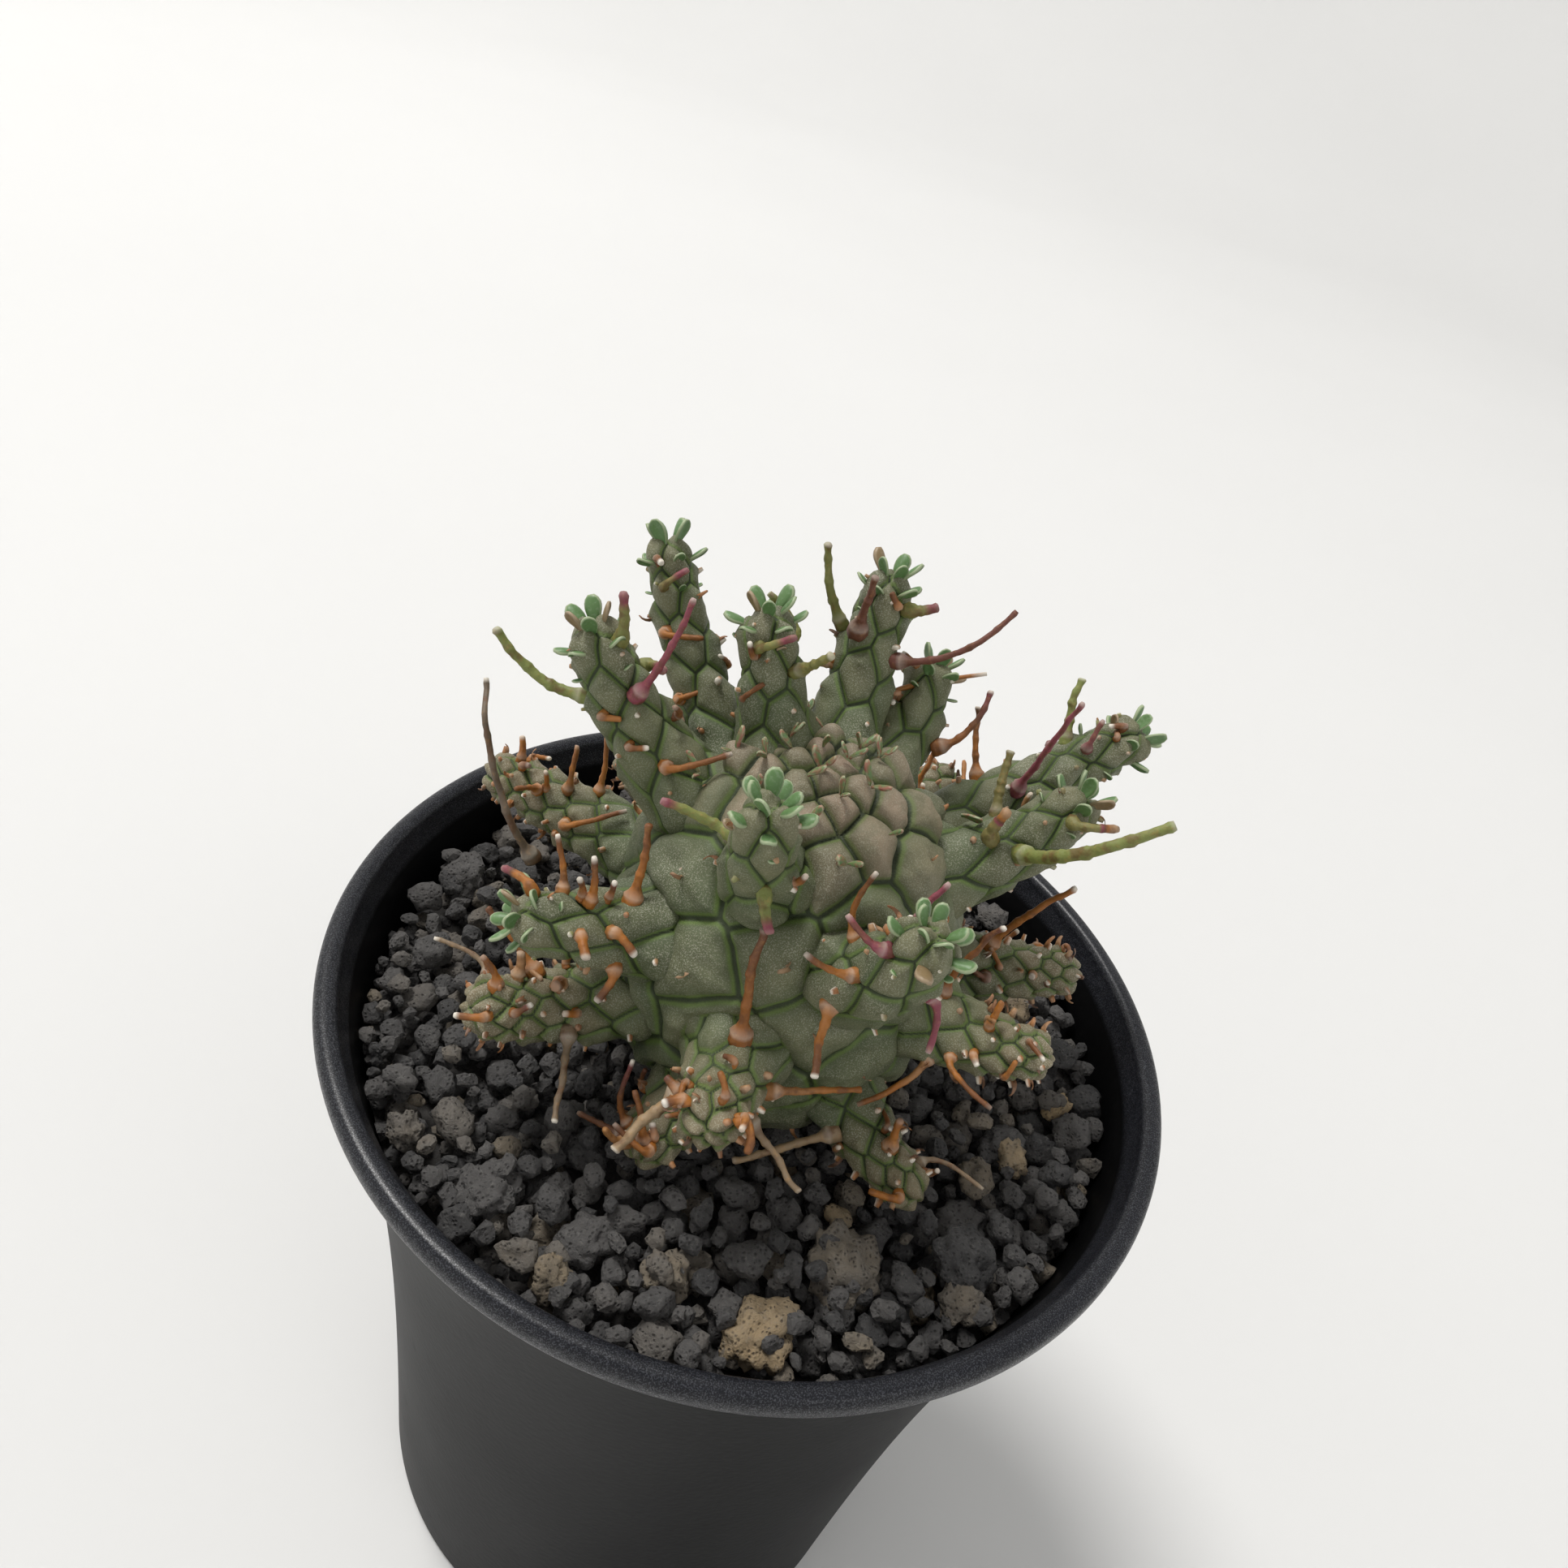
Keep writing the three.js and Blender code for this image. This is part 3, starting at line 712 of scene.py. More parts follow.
# The caudex's skin: domed tubercles with grooves between them, and a collar of skin round each arm.
# Gives back each tubercle's place, size, distance from the crown and outward direction.
def makeBody(material, lines):
    b = bodyShape
    outline = bodyOutline()
    bm = spun([(radius, height) for radius, height, _ in outline], b["steps"])
    points = coordinates(bm)
    seeds, sizes = bodySeeds(outline)
    owner, reach, border = nearestCells(points, seeds)
    size, down = sizes[owner].T
    normals = unit(points / np.array((eggRadius, eggRadius, b["halfHeight"])) ** 2)
    dice = np.random.default_rng(5)
    cellTone = dice.random(len(seeds))
    wide = 0.28 + 0.028 * size
    wobble = np.array([noise.noise(Vector(point) * 0.45) for point in points])
    fine = np.array([noise.noise(Vector(point) * 1.7) for point in points])
    groove = np.exp(-(border / wide) ** 2)
    dome = 1 - np.exp(-border / (0.22 * size))
    crownShare = 1 - smoothstep(*b["crownReach"], down)
    round = np.clip(1 - (reach / (0.62 * size)) ** 2, 0, 1)
    rise = (b["swell"] + b["bulge"] * size) * dome - b["groove"] * groove
    rise += crownShare * b["crownBulge"] * size * round + 0.45 * wobble + 0.07 * fine
    # the grooves' mask carries the groove tint and the painted shade in the very grooves
    seam = groove.copy()
    placed = points + eggCentre
    for line in lines.values():
        spots = line.at(np.linspace(-0.05, 0.2, 6))
        gap = np.linalg.norm(placed[:, None] - spots[None], axis=2).min(1) - line.radius(0.05)
        rise -= 0.5 * np.exp(-((gap - 0.5) / 0.7) ** 2)
        rise += 0.5 * np.exp(-((gap - 2.6) / 1.5) ** 2)
        # a ring round each arm's foot joins it: its dark middle is painted shade where arm and body meet
        seam = np.maximum(seam, np.exp(-((gap - 0.45) / 0.55) ** 2))
    buried = points[:, 2] < -b["neckDrop"] + 0.5
    rise[buried] = 0
    purple = 1 - smoothstep(*b["purpleReach"], down + 7 * cellTone[owner])
    purple *= 0.35 + 0.6 * cellTone[owner]
    shade = np.exp(-border / (0.14 * size + 0.25))
    aged = smoothstep(-8, -22, points[:, 2]) * 0.35
    setAttributes(bm, seam=seam, shade=shade, cell=cellTone[owner], crown=purple, age=aged)
    place(bm, (placed + normals * rise[:, None]) * mm)
    addPiece("caudexBody", bm, material, ["caudex"])
    normals = unit(seeds / np.array((eggRadius, eggRadius, b["halfHeight"])) ** 2)
    return list(zip(seeds + eggCentre, sizes[:, 0], sizes[:, 1], normals))


# arms
armShape = {
    "steps": 110, "rowStep": 0.25, "sink": 2.8, "flare": 0.16, "flareReach": 1.6,
    "groove": 0.28, "bulge": 0.13, "swell": 0.14, "lean": 0.1,
    "cells": {"leafy": (6.4, 3.0), "bare": (5.6, 1.9)}, "stretch": {"leafy": 0.72, "bare": 0.9},
}
leafy = {node[len("leaves_"):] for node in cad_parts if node.startswith("leaves_")}


def armRadius(line, height):
    a = armShape
    share = np.clip(height / line.length, 0, 1)
    radius = line.radius(share) * (1 + a["flare"] * np.exp(-np.clip(height, 0, None) / a["flareReach"]))
    blunt = line.radius(1)
    over = np.clip((height - (line.length - blunt)) / blunt, 0, 1)
    return radius * (1 - over ** 2.4) ** (1 / 2.2)


# One arm, with the places of its leaf scars added to bits.
def makeArm(name, line, material, bits):
    a = armShape
    bare = name not in leafy
    kind = "bare" if bare else "leafy"
    base, tip = a["cells"][kind]
    dice = random.Random(name)
    heights = np.arange(-a["sink"], line.length - 0.6, a["rowStep"])
    heights = np.append(heights, line.length - 0.6 * (1 - np.linspace(0, 1, 7)[1:]) ** 2)
    radii = armRadius(line, heights)
    radii[-1] = 0
    bm = spun([(0, heights[0])] + list(zip(radii, heights)), a["steps"])
    points = coordinates(bm)
    angle, height = np.arctan2(points[:, 1], points[:, 0]), points[:, 2]
    local = np.maximum(armRadius(line, height), 0.35)
    seeds, seedSizes, reach, turn = [], [], -1.5, dice.uniform(0, 6.28)
    while reach < line.length - 0.3:
        share = max(reach / line.length, 0)
        size = base + (tip - base) * share ** 0.8
        seeds.append((turn % (2 * math.pi) - math.pi, reach + dice.uniform(-0.08, 0.08) * size))
        seedSizes.append(size)
        radius = max(float(armRadius(line, np.array(reach))), 0.8)
        reach += size ** 2 / (2 * math.pi * radius) * 0.82 / a["stretch"][kind]
        turn += goldenAngle
    seeds, seedSizes = np.array(seeds), np.array(seedSizes)
    across = (angle[:, None] - seeds[:, 0] + math.pi) % (2 * math.pi) - math.pi
    dx, dy = across * local[:, None], (height[:, None] - seeds[:, 1]) * a["stretch"][kind]
    order, near = nearestFew(np.hypot(dx, dy), 4)
    rows = np.arange(len(points))
    border = np.full(len(points), 9.0)
    for k in (1, 2, 3):
        apart = np.hypot(dx[rows, order[:, k]] - dx[rows, order[:, 0]],
                         dy[rows, order[:, k]] - dy[rows, order[:, 0]])
        border = np.minimum(border, (near[:, k] ** 2 - near[:, 0] ** 2) / np.maximum(2 * apart, 1e-6))
    owner = order[:, 0]
    size = seedSizes[owner]
    groove = np.exp(-(border / (0.16 + 0.032 * size)) ** 2)
    dome = 1 - np.exp(-border / (0.2 * size))
    ahead = dy[rows, owner] / size
    rise = (a["swell"] + a["bulge"] * size) * dome - a["groove"] * groove
    rise = rise + a["lean"] * size * ahead * dome
    spot = np.hypot(dx[rows, owner], dy[rows, owner] - 0.22 * size)
    rise += 0.42 * np.exp(-(spot / 0.5) ** 2)
    rise *= smoothstep(0, 0.5, local - 0.35) * 0.8 + 0.2
    shift = Vector((dice.uniform(0, 99), 0, 0))
    rise += 0.3 * np.array([noise.noise(Vector(point) * 0.35 + shift) for point in points])
    out = np.stack([np.cos(angle), np.sin(angle), np.zeros(len(angle))], 1)
    capped = smoothstep(line.length - line.radius(1), line.length, height)[:, None]
    out = unit(out * (1.02 - capped) + np.array((0, 0, 1)) * capped)
    share = height / line.length
    cellTone = np.random.default_rng(len(seeds)).random(len(seeds))
    shade = np.exp(-border / (0.16 * size))
    purple = np.zeros(len(points)) if bare else smoothstep(0.75, 1, share) * 0.1
    aged = smoothstep(0.1, 0.9, share + 0.2 * cellTone[owner]) * (0.9 if bare else 0.15)
    # the grooves' mask carries the groove tint and the painted shade in the very grooves
    setAttributes(bm, seam=groove, shade=shade, cell=cellTone[owner], crown=purple, age=aged)
    shaped = bend(points + out * rise[:, None], line)
    place(bm, shaped * mm)
    addPiece("arm" + title(name), bm, material, ["arm_" + name])
    for (swing, reach), size in zip(seeds, seedSizes):
        height = reach + 0.25 * size
        if 1.2 < height < line.length - 0.4 and dice.random() < bitShape["scarShare"]:
            radius = float(armRadius(line, np.array(height)))
            radius += a["swell"] + 0.7 * a["bulge"] * size + 0.1
            foot = np.array([[radius * math.cos(swing), radius * math.sin(swing), height]])
            beyond = foot * ((radius + 1) / radius, (radius + 1) / radius, 1) + (0, 0, 0.35)
            foot, beyond = bend(np.vstack([foot, beyond]), line)
            bits.append((foot, unit(beyond - foot), size, bare, height / line.length))


# leaf scars and dry bracts: short stubs with pale ends, and curled flakes
bitShape = {
    "scarShare": 0.86, "scarRadius": (0.26, 0.46), "oldTall": (0.5, 1.1), "newTall": (0.5, 0.9),
    "flakeBare": 0.5, "flakeLeafy": 0.2, "flakeSize": (1.1, 2.2),
    "bractReach": (12, 50), "bractShare": 0.75, "bractRadius": (0.4, 0.6), "bractSize": (1.6, 2.8),
}


def makeBits(material, bits, crown):
    p = bitShape
    dice = random.Random(11)
    stubs, flakes = bmesh.new(), bmesh.new()
    stubTones, stubPales, flakeTones = [], [], []
    stubBlank = blankMesh(lambda bm: bmesh.ops.create_cone(
        bm, cap_ends=True, segments=7, radius1=1, radius2=0.62, depth=1))
    flakeBlank = blankMesh(makeFlake)

    def addStub(foot, out, radius, tall, tone, pale):
        turn = Vector(out).to_track_quat("Z", "Y").to_matrix().to_4x4()
        grow = Matrix.Translation(Vector(foot + out * (tall / 2 - 0.1)) * mm) @ turn
        copyInto(stubs, stubBlank, grow @ Matrix.Diagonal((radius * mm, radius * mm, tall * mm, 1)))
        stubTones.extend([tone] * 14)
        stubPales.extend([0.05] * 7 + [pale] * 7)

    def addFlake(foot, out, long, tone):
        turn = Vector(out).to_track_quat("Z", "Y").to_matrix().to_4x4()
        spin = Matrix.Rotation(dice.uniform(0, 6.28), 4, "Z")
        spin = spin @ Matrix.Rotation(dice.uniform(-0.1, 0.9), 4, "X")
        size = Matrix.Diagonal((long * 0.32 * mm, long * mm, long * mm, 1))
        spot = Matrix.Translation(Vector(foot + out * 0.25) * mm)
        copyInto(flakes, flakeBlank, spot @ turn @ spin @ size)
        flakeTones.extend([tone] * len(flakeBlank.vertices))

    for foot, out, size, bare, share in bits:
        old = bare or share < 0.5
        radius = dice.uniform(*p["scarRadius"])
        if old:
            addStub(foot, out, radius * 1.1, dice.uniform(*p["oldTall"]), dice.choice((0.55, 0.62, 0.7)),
                    dice.choice((0.95, 0.6, 0.15)))
        else:
            addStub(foot, out, radius, dice.uniform(*p["newTall"]), dice.choice((0.02, 0.06, 0.72)),
                    dice.choice((0.8, 0.4, 0.1)))
        if dice.random() < p["flakeBare" if bare else "flakeLeafy"]:
            addFlake(foot, out, dice.uniform(*p["flakeSize"]), dice.choice((0.42, 0.52, 0.58, 0.66)))
    for foot, size, down, out in crown:
        if p["bractReach"][0] < down < p["bractReach"][1] and dice.random() < p["bractShare"]:
            spot = foot + out * 0.75
            addStub(spot, out, dice.uniform(*p["bractRadius"]), 0.5, dice.choice((0.68, 0.74)),
                    dice.choice((0.25, 0.5)))
            addFlake(spot + out * 0.2, out, dice.uniform(*p["bractSize"]), dice.choice((0.6, 0.68, 0.74)))
    setAttributes(stubs, tone=stubTones, pale=stubPales)
    setAttributes(flakes, tone=flakeTones, pale=[0.08] * len(flakes.verts))
    addPiece("leafScars", stubs, material)
    addPiece("dryBracts", flakes, material)


def makeFlake(bm):
    bmesh.ops.create_grid(bm, x_segments=2, y_segments=5, size=0.5)
    for vert in bm.verts:
        along = vert.co.y + 0.5
        wide = (1 - 0.5 * along ** 2) * vert.co.x
        curl = 2.4 * along
        vert.co = (wide, 0.42 * math.sin(curl), 0.42 * (1 - math.cos(curl)) - 0.9 * wide * wide)
    bmesh.ops.solidify(bm, geom=bm.faces[:], thickness=0.05)
    bmesh.ops.recalc_face_normals(bm, faces=bm.faces)


# leaves: small cupped spoons in three rings round the end of an arm
leafShape = {
    "columns": 4, "rows": 8, "cup": 1.5, "curl": 0.3, "thick": 0.11, "sizes": (2.7, 3.7), "redShare": 0.08,
    # each ring's share of the arm's length, count, tilt, share of full size, share of the arm's radius
    "rings": ((0.78, 3, 60, 0.6, 0.95), (0.9, 5, 46, 0.95, 0.72), (0.98, 5, 20, 1.0, 0.35)),
}


def makeLeafBlank(bm):
    p = leafShape
    bmesh.ops.create_grid(bm, x_segments=p["columns"], y_segments=p["rows"], size=0.5)
    edge = bm.verts.layers.float.new("edge")
    for vert in bm.verts:
        across, along = vert.co.x * 2, vert.co.y + 0.5
        vert[edge] = max(abs(across), along ** 3)
        blade = math.sqrt(max(1 - ((along - 0.66) / 0.35) ** 2, 0)) if along > 0.66 else 1
        half = 0.09 + 0.19 * math.sin(min(along / 0.66, 1) ** 1.3 * math.pi / 2)
        half *= max(blade, 0.3)
        lift = p["cup"] * (half * across) ** 2 + p["curl"] * along * along - 0.15 * along
        vert.co = (half * across, along, lift)
    bmesh.ops.solidify(bm, geom=bm.faces[:], thickness=-p["thick"])
    bmesh.ops.recalc_face_normals(bm, faces=bm.faces)
    bmesh.ops.smooth_vert(bm, verts=bm.verts, factor=0.3,
                          use_axis_x=True, use_axis_y=True, use_axis_z=True)


def leafPlace(foot, axis, side, tilt, length):
    grow = unit(axis * math.cos(tilt) + side * math.sin(tilt))
    wide = unit(np.cross(grow, side))
    face = np.cross(wide, grow)
    turn = Matrix((wide, grow, face)).transposed().to_4x4()
    size = Matrix.Diagonal((length * mm, length * mm, length * mm, 1))
    return Matrix.Translation(Vector(foot) * mm) @ turn @ size


def makeTuft(name, line, material, blank):
    dice = random.Random("leaves " + name)
    bm = bmesh.new()
    blush = []
    p = leafShape
    spots, tangents, sides, ups = line.frames(np.array([row[0] for row in p["rings"]]))
    for ring, (_, count, tilt, least, spread) in enumerate(p["rings"]):
        for k in range(count):
            turn = (k + 0.5 * ring) * 2 * math.pi / count + dice.uniform(-0.25, 0.25)
            side = sides[ring] * math.cos(turn) + ups[ring] * math.sin(turn)
            foot = spots[ring] + side * line.radius(1) * spread - tangents[ring] * 0.3
            length = dice.uniform(*p["sizes"]) * least
            lean = math.radians(tilt + dice.uniform(-10, 10))
            copyInto(bm, blank, leafPlace(foot, tangents[ring], side, lean, length))
            blush += [0.5 if dice.random() < p["redShare"] else 0.0] * len(blank.vertices)
    setAttributes(bm, blush=blush)
    addPiece("leaves" + title(name), bm, material, ["leaves_" + name])


# small leaves and buds between the crown's tubercles
def makeCrownLeaves(material, blank, crown):
    dice = random.Random(21)
    bm = bmesh.new()
    blush = []
    edges = [item.value for item in blank.attributes["edge"].data]
    for spot, size, down, out in crown:
        if down > 17 or dice.random() > 0.85:
            continue
        side = unit(np.cross(out, (math.cos(down * 7), math.sin(down * 7), 0.2)))
        foot = spot + out * (0.5 + 0.3 * size) + side * 0.2 * size
        for k in range(dice.choice((1, 2, 2, 3))):
            lean = math.radians(dice.uniform(5, 45))
            long = dice.uniform(1.6, 3.2)
            narrow = Matrix.Diagonal((dice.uniform(0.45, 0.8), 1, 1, 1))
            copyInto(bm, blank, leafPlace(foot, out, side * (1 - 2 * (k % 2)), lean, long) @ narrow)
            blush += [dice.choice((0.0, 0.1, 0.4, 0.65)) * (0.4 + share) for share in edges]
    setAttributes(bm, blush=blush)
    addPiece("crownLeaves", bm, material)


# old flower stalks
stalkShape = {
    "steps": 12, "rows": 40, "collar": 2.3, "collarReach": 0.75, "knot": 0.24, "slim": 0.74,
    "twigSteps": 8, "twigRows": 14, "wander": 0.6, "deadWander": 2.2,
}
# Each arm's stalks in turn, by colour: 0 green, 0.2 purple, 0.4 brown, 0.6 orange, 0.8 pale, 1 dead.
stalkTones = {
    "left_upper": (0.0, 0.2), "back_centre": (0.03,), "back_right": (0.02, 0.38, 0.36),
    "right_upper": (0.5,), "right_back": (0.6, 0.22, 0.0), "right_mid": (0.0, 0.05),
    "front_low": (0.52, 0.82, 0.9, 0.66), "front_right": (0.62,), "right_low": (0.5,),
    "right_low_back": (0.55,), "front_right_low": (0.84,), "left_back": (0.97,),
    "left_mid": (0.58,), "left_low": (0.62, 0.93),
}


# A knotty rod along a line, with a swollen collar at its foot and a blunt, often pale end.
def stalkBody(bm, line, radius, tone, dice, tones, pales, steps, rows, collar, tipTone=None):
    p = stalkShape
    heights = np.concatenate([np.linspace(-0.8, 1.5, 6), np.linspace(1.5, line.length, rows)[1:]])
    share = heights / line.length
    width = radius * (1 - 0.35 * share)
    width *= 1 + (collar - 1) * np.exp(-(np.clip(heights - 0.4, 0, None) / p["collarReach"]) ** 2)
    for knot in (0.3, 0.55, 0.78):
        spot = knot + dice.uniform(-0.06, 0.06)
        width *= 1 + p["knot"] * np.exp(-((share - spot) * line.length / 0.35) ** 2)
    width *= 1 + 0.4 * np.exp(-((share - 1) * line.length / 0.6) ** 2)
    width[-1] *= 0.7
    rod = spun([(0, heights[0])] + list(zip(width, heights)) + [(0, heights[-1])], steps)
    points = coordinates(rod)
    shift = Vector((dice.uniform(0, 99), 0, 0))
    wave = np.array([noise.noise(Vector((0, 0, z * 0.35)) + shift) for z in points[:, 2]])
    grain = np.array([noise.noise(Vector(point) * 1.9 + shift) for point in points])
    points[:, :2] *= (1 + 0.16 * grain)[:, None]
    wander = p["deadWander"] if tone > 0.95 else p["wander"]
    points[:, 0] += wave * wander * np.clip(points[:, 2] / line.length, 0, 1)
    place(rod, bend(points, line, 40) * mm)
    blank = bpy.data.meshes.new("rod")
    rod.to_mesh(blank)
    rod.free()
    bm.from_mesh(blank)
    bpy.data.meshes.remove(blank)
    ringed = np.exp(-((points[:, 2] - 0.75) / 0.25) ** 2) * 0.35
    end = smoothstep(line.length - 0.45, line.length - 0.1, points[:, 2])
    if tipTone is None:
        browner = dice.choice((0.0, 0.12, 0.2)) if 0.45 < tone < 0.7 else 0
        tones += list(tone - browner * smoothstep(0.3, 1, points[:, 2] / line.length))
        whiter = dice.choice((0.9, 0.6, 0.2, 0.0)) if tone > 0.3 else 0.35
        pales += list(np.maximum(ringed, end * whiter))
    else:
        tip = smoothstep(line.length - 1.6, line.length - 0.5, points[:, 2])
        tones += list(tone + (tipTone - tone) * tip)
        pales += list(end * 0.1)


def makeStalks(material, lines):
    p = stalkShape
    for name, kinds in stalkTones.items():
        for k, tone in enumerate(kinds, 1):
            node = f"stalk_{name}_{k}"
            nodePoints = np.array([vert.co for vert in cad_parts[node].data.vertices]) / mm
            spine = lines[name].at(np.linspace(0, 1, 30))
            gaps = np.linalg.norm(nodePoints[:, None] - spine[None], axis=2)
            near = spine[np.unravel_index(gaps.argmin(), gaps.shape)[1]]
            line = Line(node, near, cuts=6, skip=0.3)
            bm, tones, pales = bmesh.new(), [], []
            collar = 1.5 if tone < 0.1 else p["collar"]
            stalkBody(bm, line, line.radius(0.5) * p["slim"], tone, random.Random(node), tones, pales,
                      p["steps"], p["rows"], collar)
            setAttributes(bm, tone=tones, pale=pales)
            addPiece("stalk" + title(name) + str(k), bm, material, [node])


# Shorter twigs, green horns and buds, by arm. Each: share of the arm's length, degrees round it from its
# upper side, way to the end (azimuth, rise), length, radius, tone and, for a horn, its tip's tone.
twigs = [
    ("back_centre", (0.75, 75, (165, 45), 5.5, 0.75, 0.02, 0.0),
     (0.8, -75, (-20, 40), 5.2, 0.7, 0.02, 0.24)),
    ("left_upper", (0.92, -10, (150, 86), 5.5, 0.85, 0.02, 0.24),
     (0.7, 40, (-30, 20), 3.2, 0.8, 0.02, 0.24)),
    ("back_left", (0.8, -60, (20, 50), 3.6, 0.6, 0.05, 0.22)),
    ("back_right", (0.85, 70, (10, 20), 3.4, 0.9, 0.02, 0.2)),
    ("front_crown", (0.55, 80, (-175, 15), 7.5, 0.8, 0.0, 0.2),
     (0.45, -150, (-60, -30), 4, 0.8, 0.0, 0.2)),
    ("right_mid", (0.35, 20, (-20, 80), 4.5, 1.0, 0.05, 0.7), (0.85, 60, (0, 12), 5, 0.8, 0.04, 0.75)),
    ("left_mid", (0.95, 30, (150, -5), 4.2, 0.7, 0.6, 0.22), (0.55, 0, (120, 76), 5.2, 0.55, 0.6),
     (0.62, -60, (-60, -10), 3.0, 0.9, 0.62), (0.4, -50, (-20, -20), 3.4, 0.85, 0.64),
     (0.3, -110, (-100, -40), 4.0, 0.8, 0.58), (0.7, 40, (130, 60), 6.0, 0.5, 0.64)),
    ("left_back", (0.35, 20, (110, 72), 7.0, 0.5, 0.62), (0.5, -10, (80, 80), 6.0, 0.5, 0.64),
     (0.85, 10, (120, 70), 3.0, 0.6, 0.6), (0.4, -70, (10, 30), 8.0, 0.6, 0.64),
     (0.65, -40, (-110, 30), 5.0, 0.5, 0.6)),
    ("left_upper", (0.25, -60, (20, 22), 7.2, 0.6, 0.56), (0.4, 10, (-90, 50), 3.6, 0.45, 0.45),
     (0.3, 60, (-170, 30), 4.5, 0.4, 0.5)),
    ("left_low", (0.9, 0, (170, 60), 4.0, 0.6, 0.6), (0.95, -60, (-160, 0), 3.4, 0.6, 0.62),
     (0.5, -10, (-90, 40), 2.2, 1.2, 0.66), (0.75, 20, (100, 70), 3.0, 0.9, 0.7),
     (0.9, 60, (170, 10), 7.0, 0.35, 0.9)),
    ("front_low", (0.9, -60, (-60, -30), 3.2, 0.75, 0.6), (0.9, 60, (-150, 0), 2.4, 0.7, 0.6),
     (0.7, 80, (160, 10), 2.2, 0.6, 0.58)),
    ("front_right", (0.45, 80, (-170, 20), 5.6, 0.55, 0.62), (0.8, 60, (170, 25), 5.0, 0.55, 0.22),
     (0.6, -150, (-70, -50), 5.5, 0.6, 0.2), (0.85, -40, (60, 55), 4.6, 0.5, 0.2),
     (0.25, 20, (95, 80), 8.0, 0.55, 0.62)),
    ("right_low", (0.55, 20, (60, 78), 3.6, 0.6, 0.6), (0.2, 110, (-140, -30), 9.5, 0.65, 0.68),
     (0.35, 90, (-40, -6), 7.0, 0.5, 0.62)),
    ("right_low_back", (0.75, -70, (-60, -20), 5.0, 0.6, 0.6), (0.3, 60, (-170, 20), 4, 0.5, 0.4)),
    ("front_right_low", (0.6, 10, (90, 78), 4.0, 0.8, 0.64), (0.95, 60, (-170, 0), 3.5, 0.7, 0.6),
     (0.8, -70, (-10, 5), 7.5, 0.4, 0.92)),
    ("right_back", (0.65, -60, (-20, -20), 5.0, 0.4, 0.25), (0.45, -110, (-50, -10), 6.0, 0.4, 0.25),
     (0.75, 20, (60, 70), 4.0, 0.45, 0.3)),
    ("right_upper", (0.5, -60, (20, 30), 12, 0.45, 0.66), (0.3, -90, (0, 0), 9, 0.5, 0.66)),
    ("back_right", (0.45, -80, (-10, -30), 6, 0.4, 0.56)),
    ("back_left", (0.5, 70, (150, 0), 3.5, 0.5, 0.64), (0.6, -80, (0, 10), 4.5, 0.5, 0.62),
     (0.3, -90, (20, 30), 4.5, 0.5, 0.6)),
    ("left_bottom", (0.9, 0, (140, 60), 6.0, 0.7, 0.56), (0.8, 60, (120, 70), 8.0, 0.5, 0.5),
     (0.95, -20, (180, 30), 5.0, 0.6, 0.6), (0.9, 90, (160, -10), 6.0, 0.5, 0.42),
     (1.0, 40, (-150, 50), 4.0, 0.6, 0.66)),
    ("far_left", (0.5, 0, (140, 70), 6.0, 0.55, 0.6), (0.8, -40, (120, 40), 4.5, 0.5, 0.62)),
    ("far_back", (0.45, 20, (90, 75), 7.5, 0.6, 0.58), (0.8, -50, (60, 20), 5.0, 0.5, 0.64)),
    ("far_right", (0.5, 0, (70, 70), 6.5, 0.55, 0.6), (0.85, 60, (90, 30), 4.0, 0.5, 0.64)),
    ("far_low", (0.6, 0, (80, 60), 5.0, 0.55, 0.62), (0.9, -60, (50, 0), 5.5, 0.45, 0.9)),
]


def toward(azimuth, rise):
    a, r = math.radians(azimuth), math.radians(rise)
    return np.array((math.cos(r) * math.cos(a), math.cos(r) * math.sin(a), math.sin(r)))


def makeTwigs(material, lines):
    p = stalkShape
    dice = random.Random(31)
    bm, tones, pales = bmesh.new(), [], []
    items = [(name, *row) for name, *rows in twigs for row in rows]
    for name in lines:
        for _ in range(2 if name in leafy else 4):
            tone = dice.choice((0.45, 0.52, 0.58, 0.62, 0.7))
            way = (dice.uniform(-180, 180), dice.uniform(-10, 80))
            items.append((name, dice.uniform(0.3, 0.95), dice.uniform(-110, 110), way,
                          dice.uniform(1.6, 3.4), dice.uniform(0.2, 0.45), tone))
    for name, share, turn, way, length, radius, tone, *tips in items:
        line = lines[name]
        spot = line.at(share)[0]
        tangent = unit(line.at(share + 0.01)[0] - line.at(share - 0.01)[0])
        upper = unit(np.array((0, 0, 1)) - tangent * tangent[2])
        side = np.array(Matrix.Rotation(math.radians(turn), 3, Vector(tangent)) @ Vector(upper))
        start = spot + side * (line.radius(min(share, 1)) + 0.45)
        if share > 0.9:
            side = unit(side + tangent)
        end = start + toward(*way) * length
        middle = start + side * 0.35 * length
        curve = Curve(np.array([end - 2 * middle + start, 2 * (middle - start), start]))
        slim = radius * 0.72 if tips else 0.2 + 0.36 * radius
        collar = 1.5 if length < 4 or tips else 2.1
        stalkBody(bm, curve, slim, tone, dice, tones, pales, p["twigSteps"], p["twigRows"],
                  collar, *tips)
    setAttributes(bm, tone=tones, pale=pales)
    addPiece("twigs", bm, material)


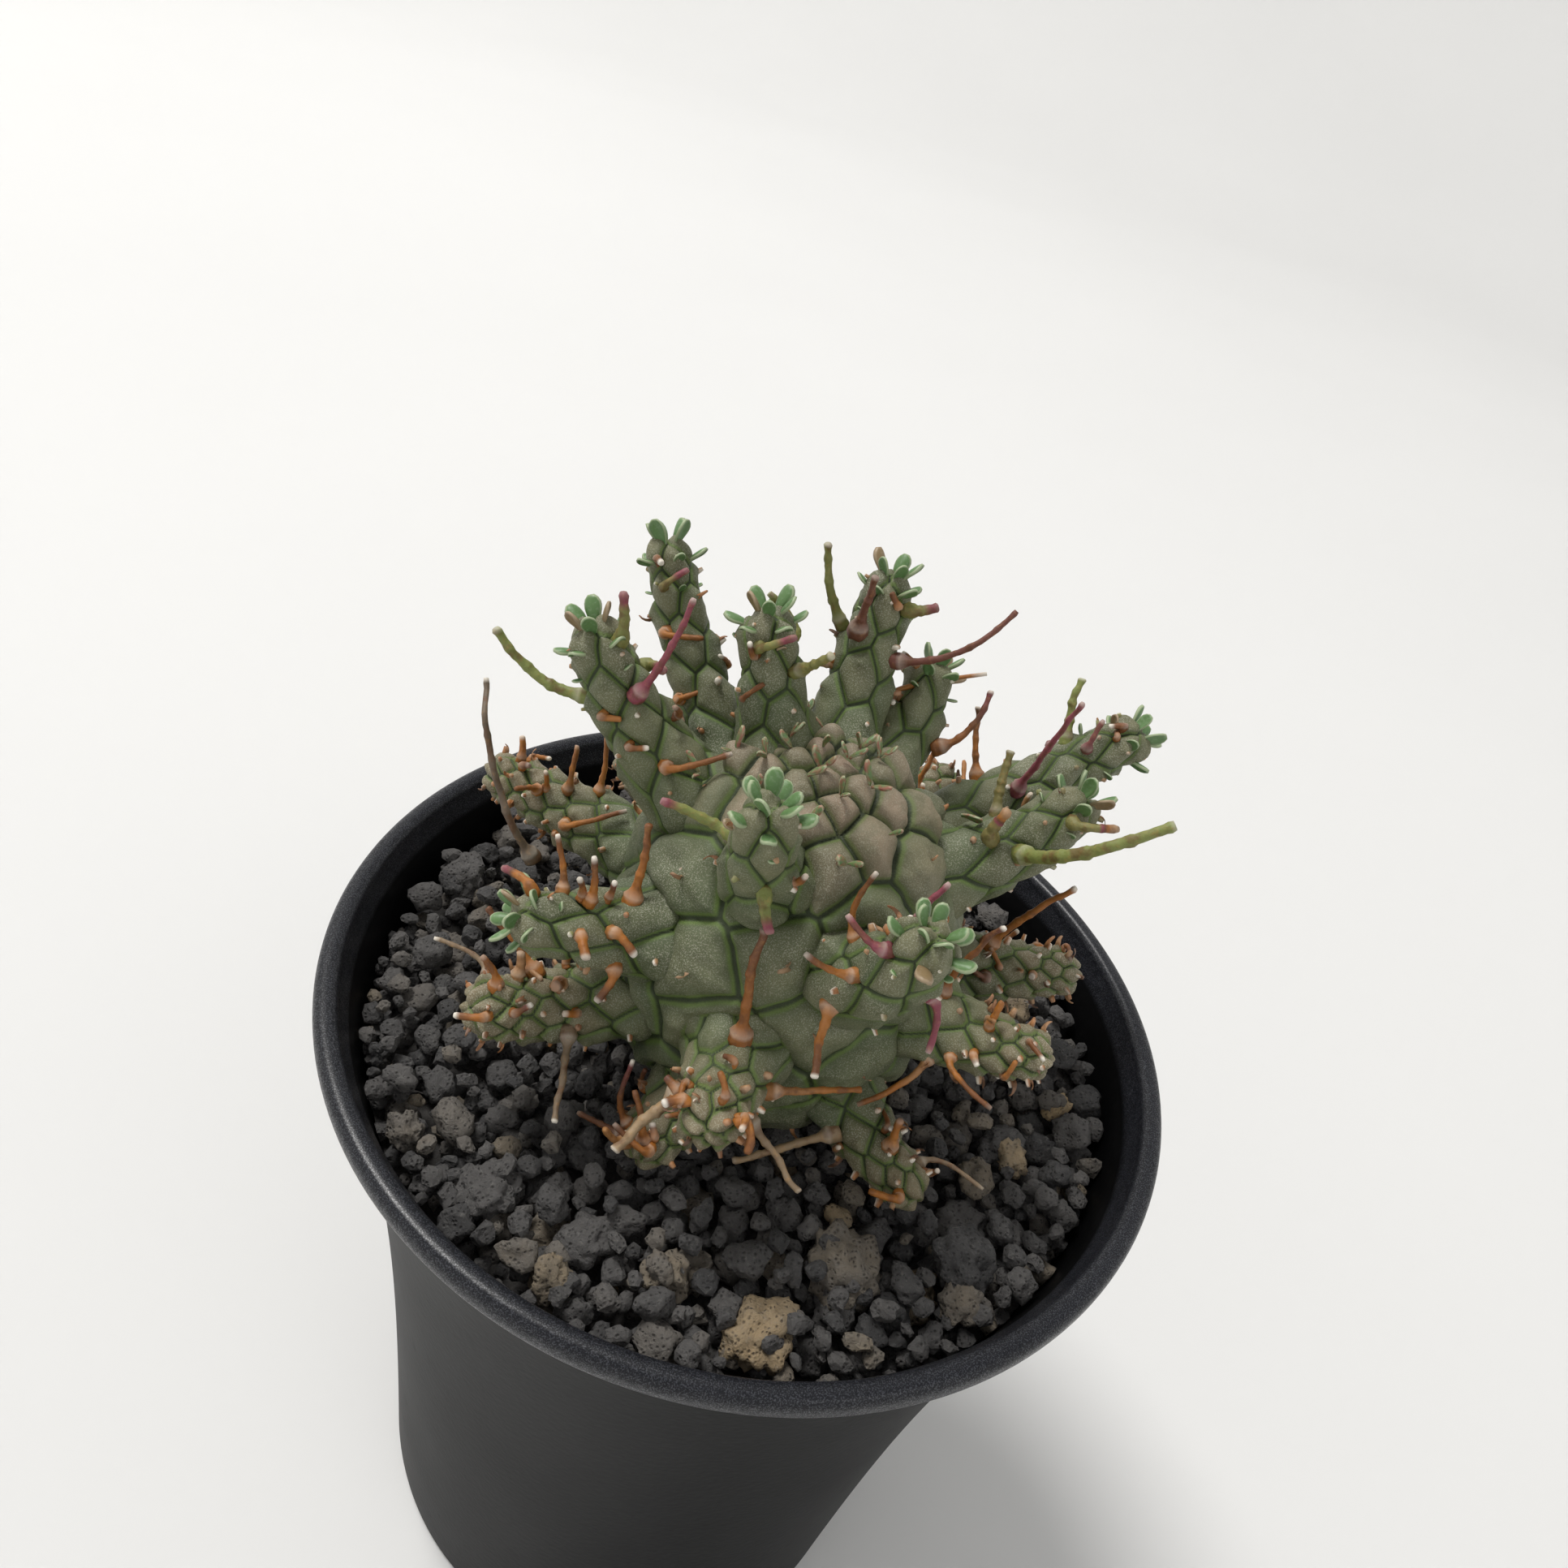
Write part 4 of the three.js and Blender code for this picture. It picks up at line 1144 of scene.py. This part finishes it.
# work through the pieces
makeCamera()
for lightName in ("key", "fill"):
    areaLight(lightName, *studio[lightName])
print("camera and light")
makePot(potPlastic())
print("pot")
makeGravel(gravelStone(), gravelDust())
print("gravel")
skinMaterial, stalkMaterial, leafMaterial = skin(), stalkSkin(), leafSkin()
armNames = sorted(node[len("arm_"):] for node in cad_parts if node.startswith("arm_"))
armLines = {name: Line("arm_" + name, eggCentre) for name in armNames}
crown = makeBody(skinMaterial, armLines)
print("caudex")
bits = []
for armName, armLine in armLines.items():
    makeArm(armName, armLine, skinMaterial, bits)
makeBits(stalkMaterial, bits, crown)
print("arms")
leafBlank = blankMesh(makeLeafBlank)
for armName in sorted(leafy):
    makeTuft(armName, armLines[armName], leafMaterial, leafBlank)
makeCrownLeaves(leafMaterial, leafBlank, crown)
print("leaves")
makeStalks(stalkMaterial, armLines)
makeTwigs(stalkMaterial, armLines)
print("stalks")
mixMaterial = pottingMix()
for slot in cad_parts["potting_mix"].material_slots:
    slot.material = mixMaterial
print("potting mix")

# floor and surroundings
floorShader = Shader("floorPale")
floorColour = floorShader.mix(floorShader.noise(3, 2), (0.72, 0.72, 0.715), (0.76, 0.76, 0.755))
floorMaterial = floorShader.finish(floorColour, 0.9)
sweep = np.radians(np.linspace(0, 90, 25))
floorEdge = [(0, 0)] + [(studio["floorRadius"] + studio["sweep"] * math.sin(angle),
                         studio["sweep"] * (1 - math.cos(angle))) for angle in sweep]
floorEdge.append((studio["floorRadius"] + studio["sweep"], studio["wallTop"]))
floorMesh = spun(floorEdge, 96)
bmesh.ops.reverse_faces(floorMesh, faces=floorMesh.faces[:])
floor = makeObject("floor", floorMesh, floorMaterial)
floor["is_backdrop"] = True
world = bpy.data.worlds.new("studio")
world.use_nodes = True
world.node_tree.nodes["Background"].inputs["Color"].default_value = (1, 1, 1, 1)
world.node_tree.nodes["Background"].inputs["Strength"].default_value = studio["world"]
bpy.context.scene.world = world
bpy.context.scene.view_settings.view_transform = "Standard"

[[list(map(float, corner)) for corner in box] for box in (cadBox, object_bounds())]
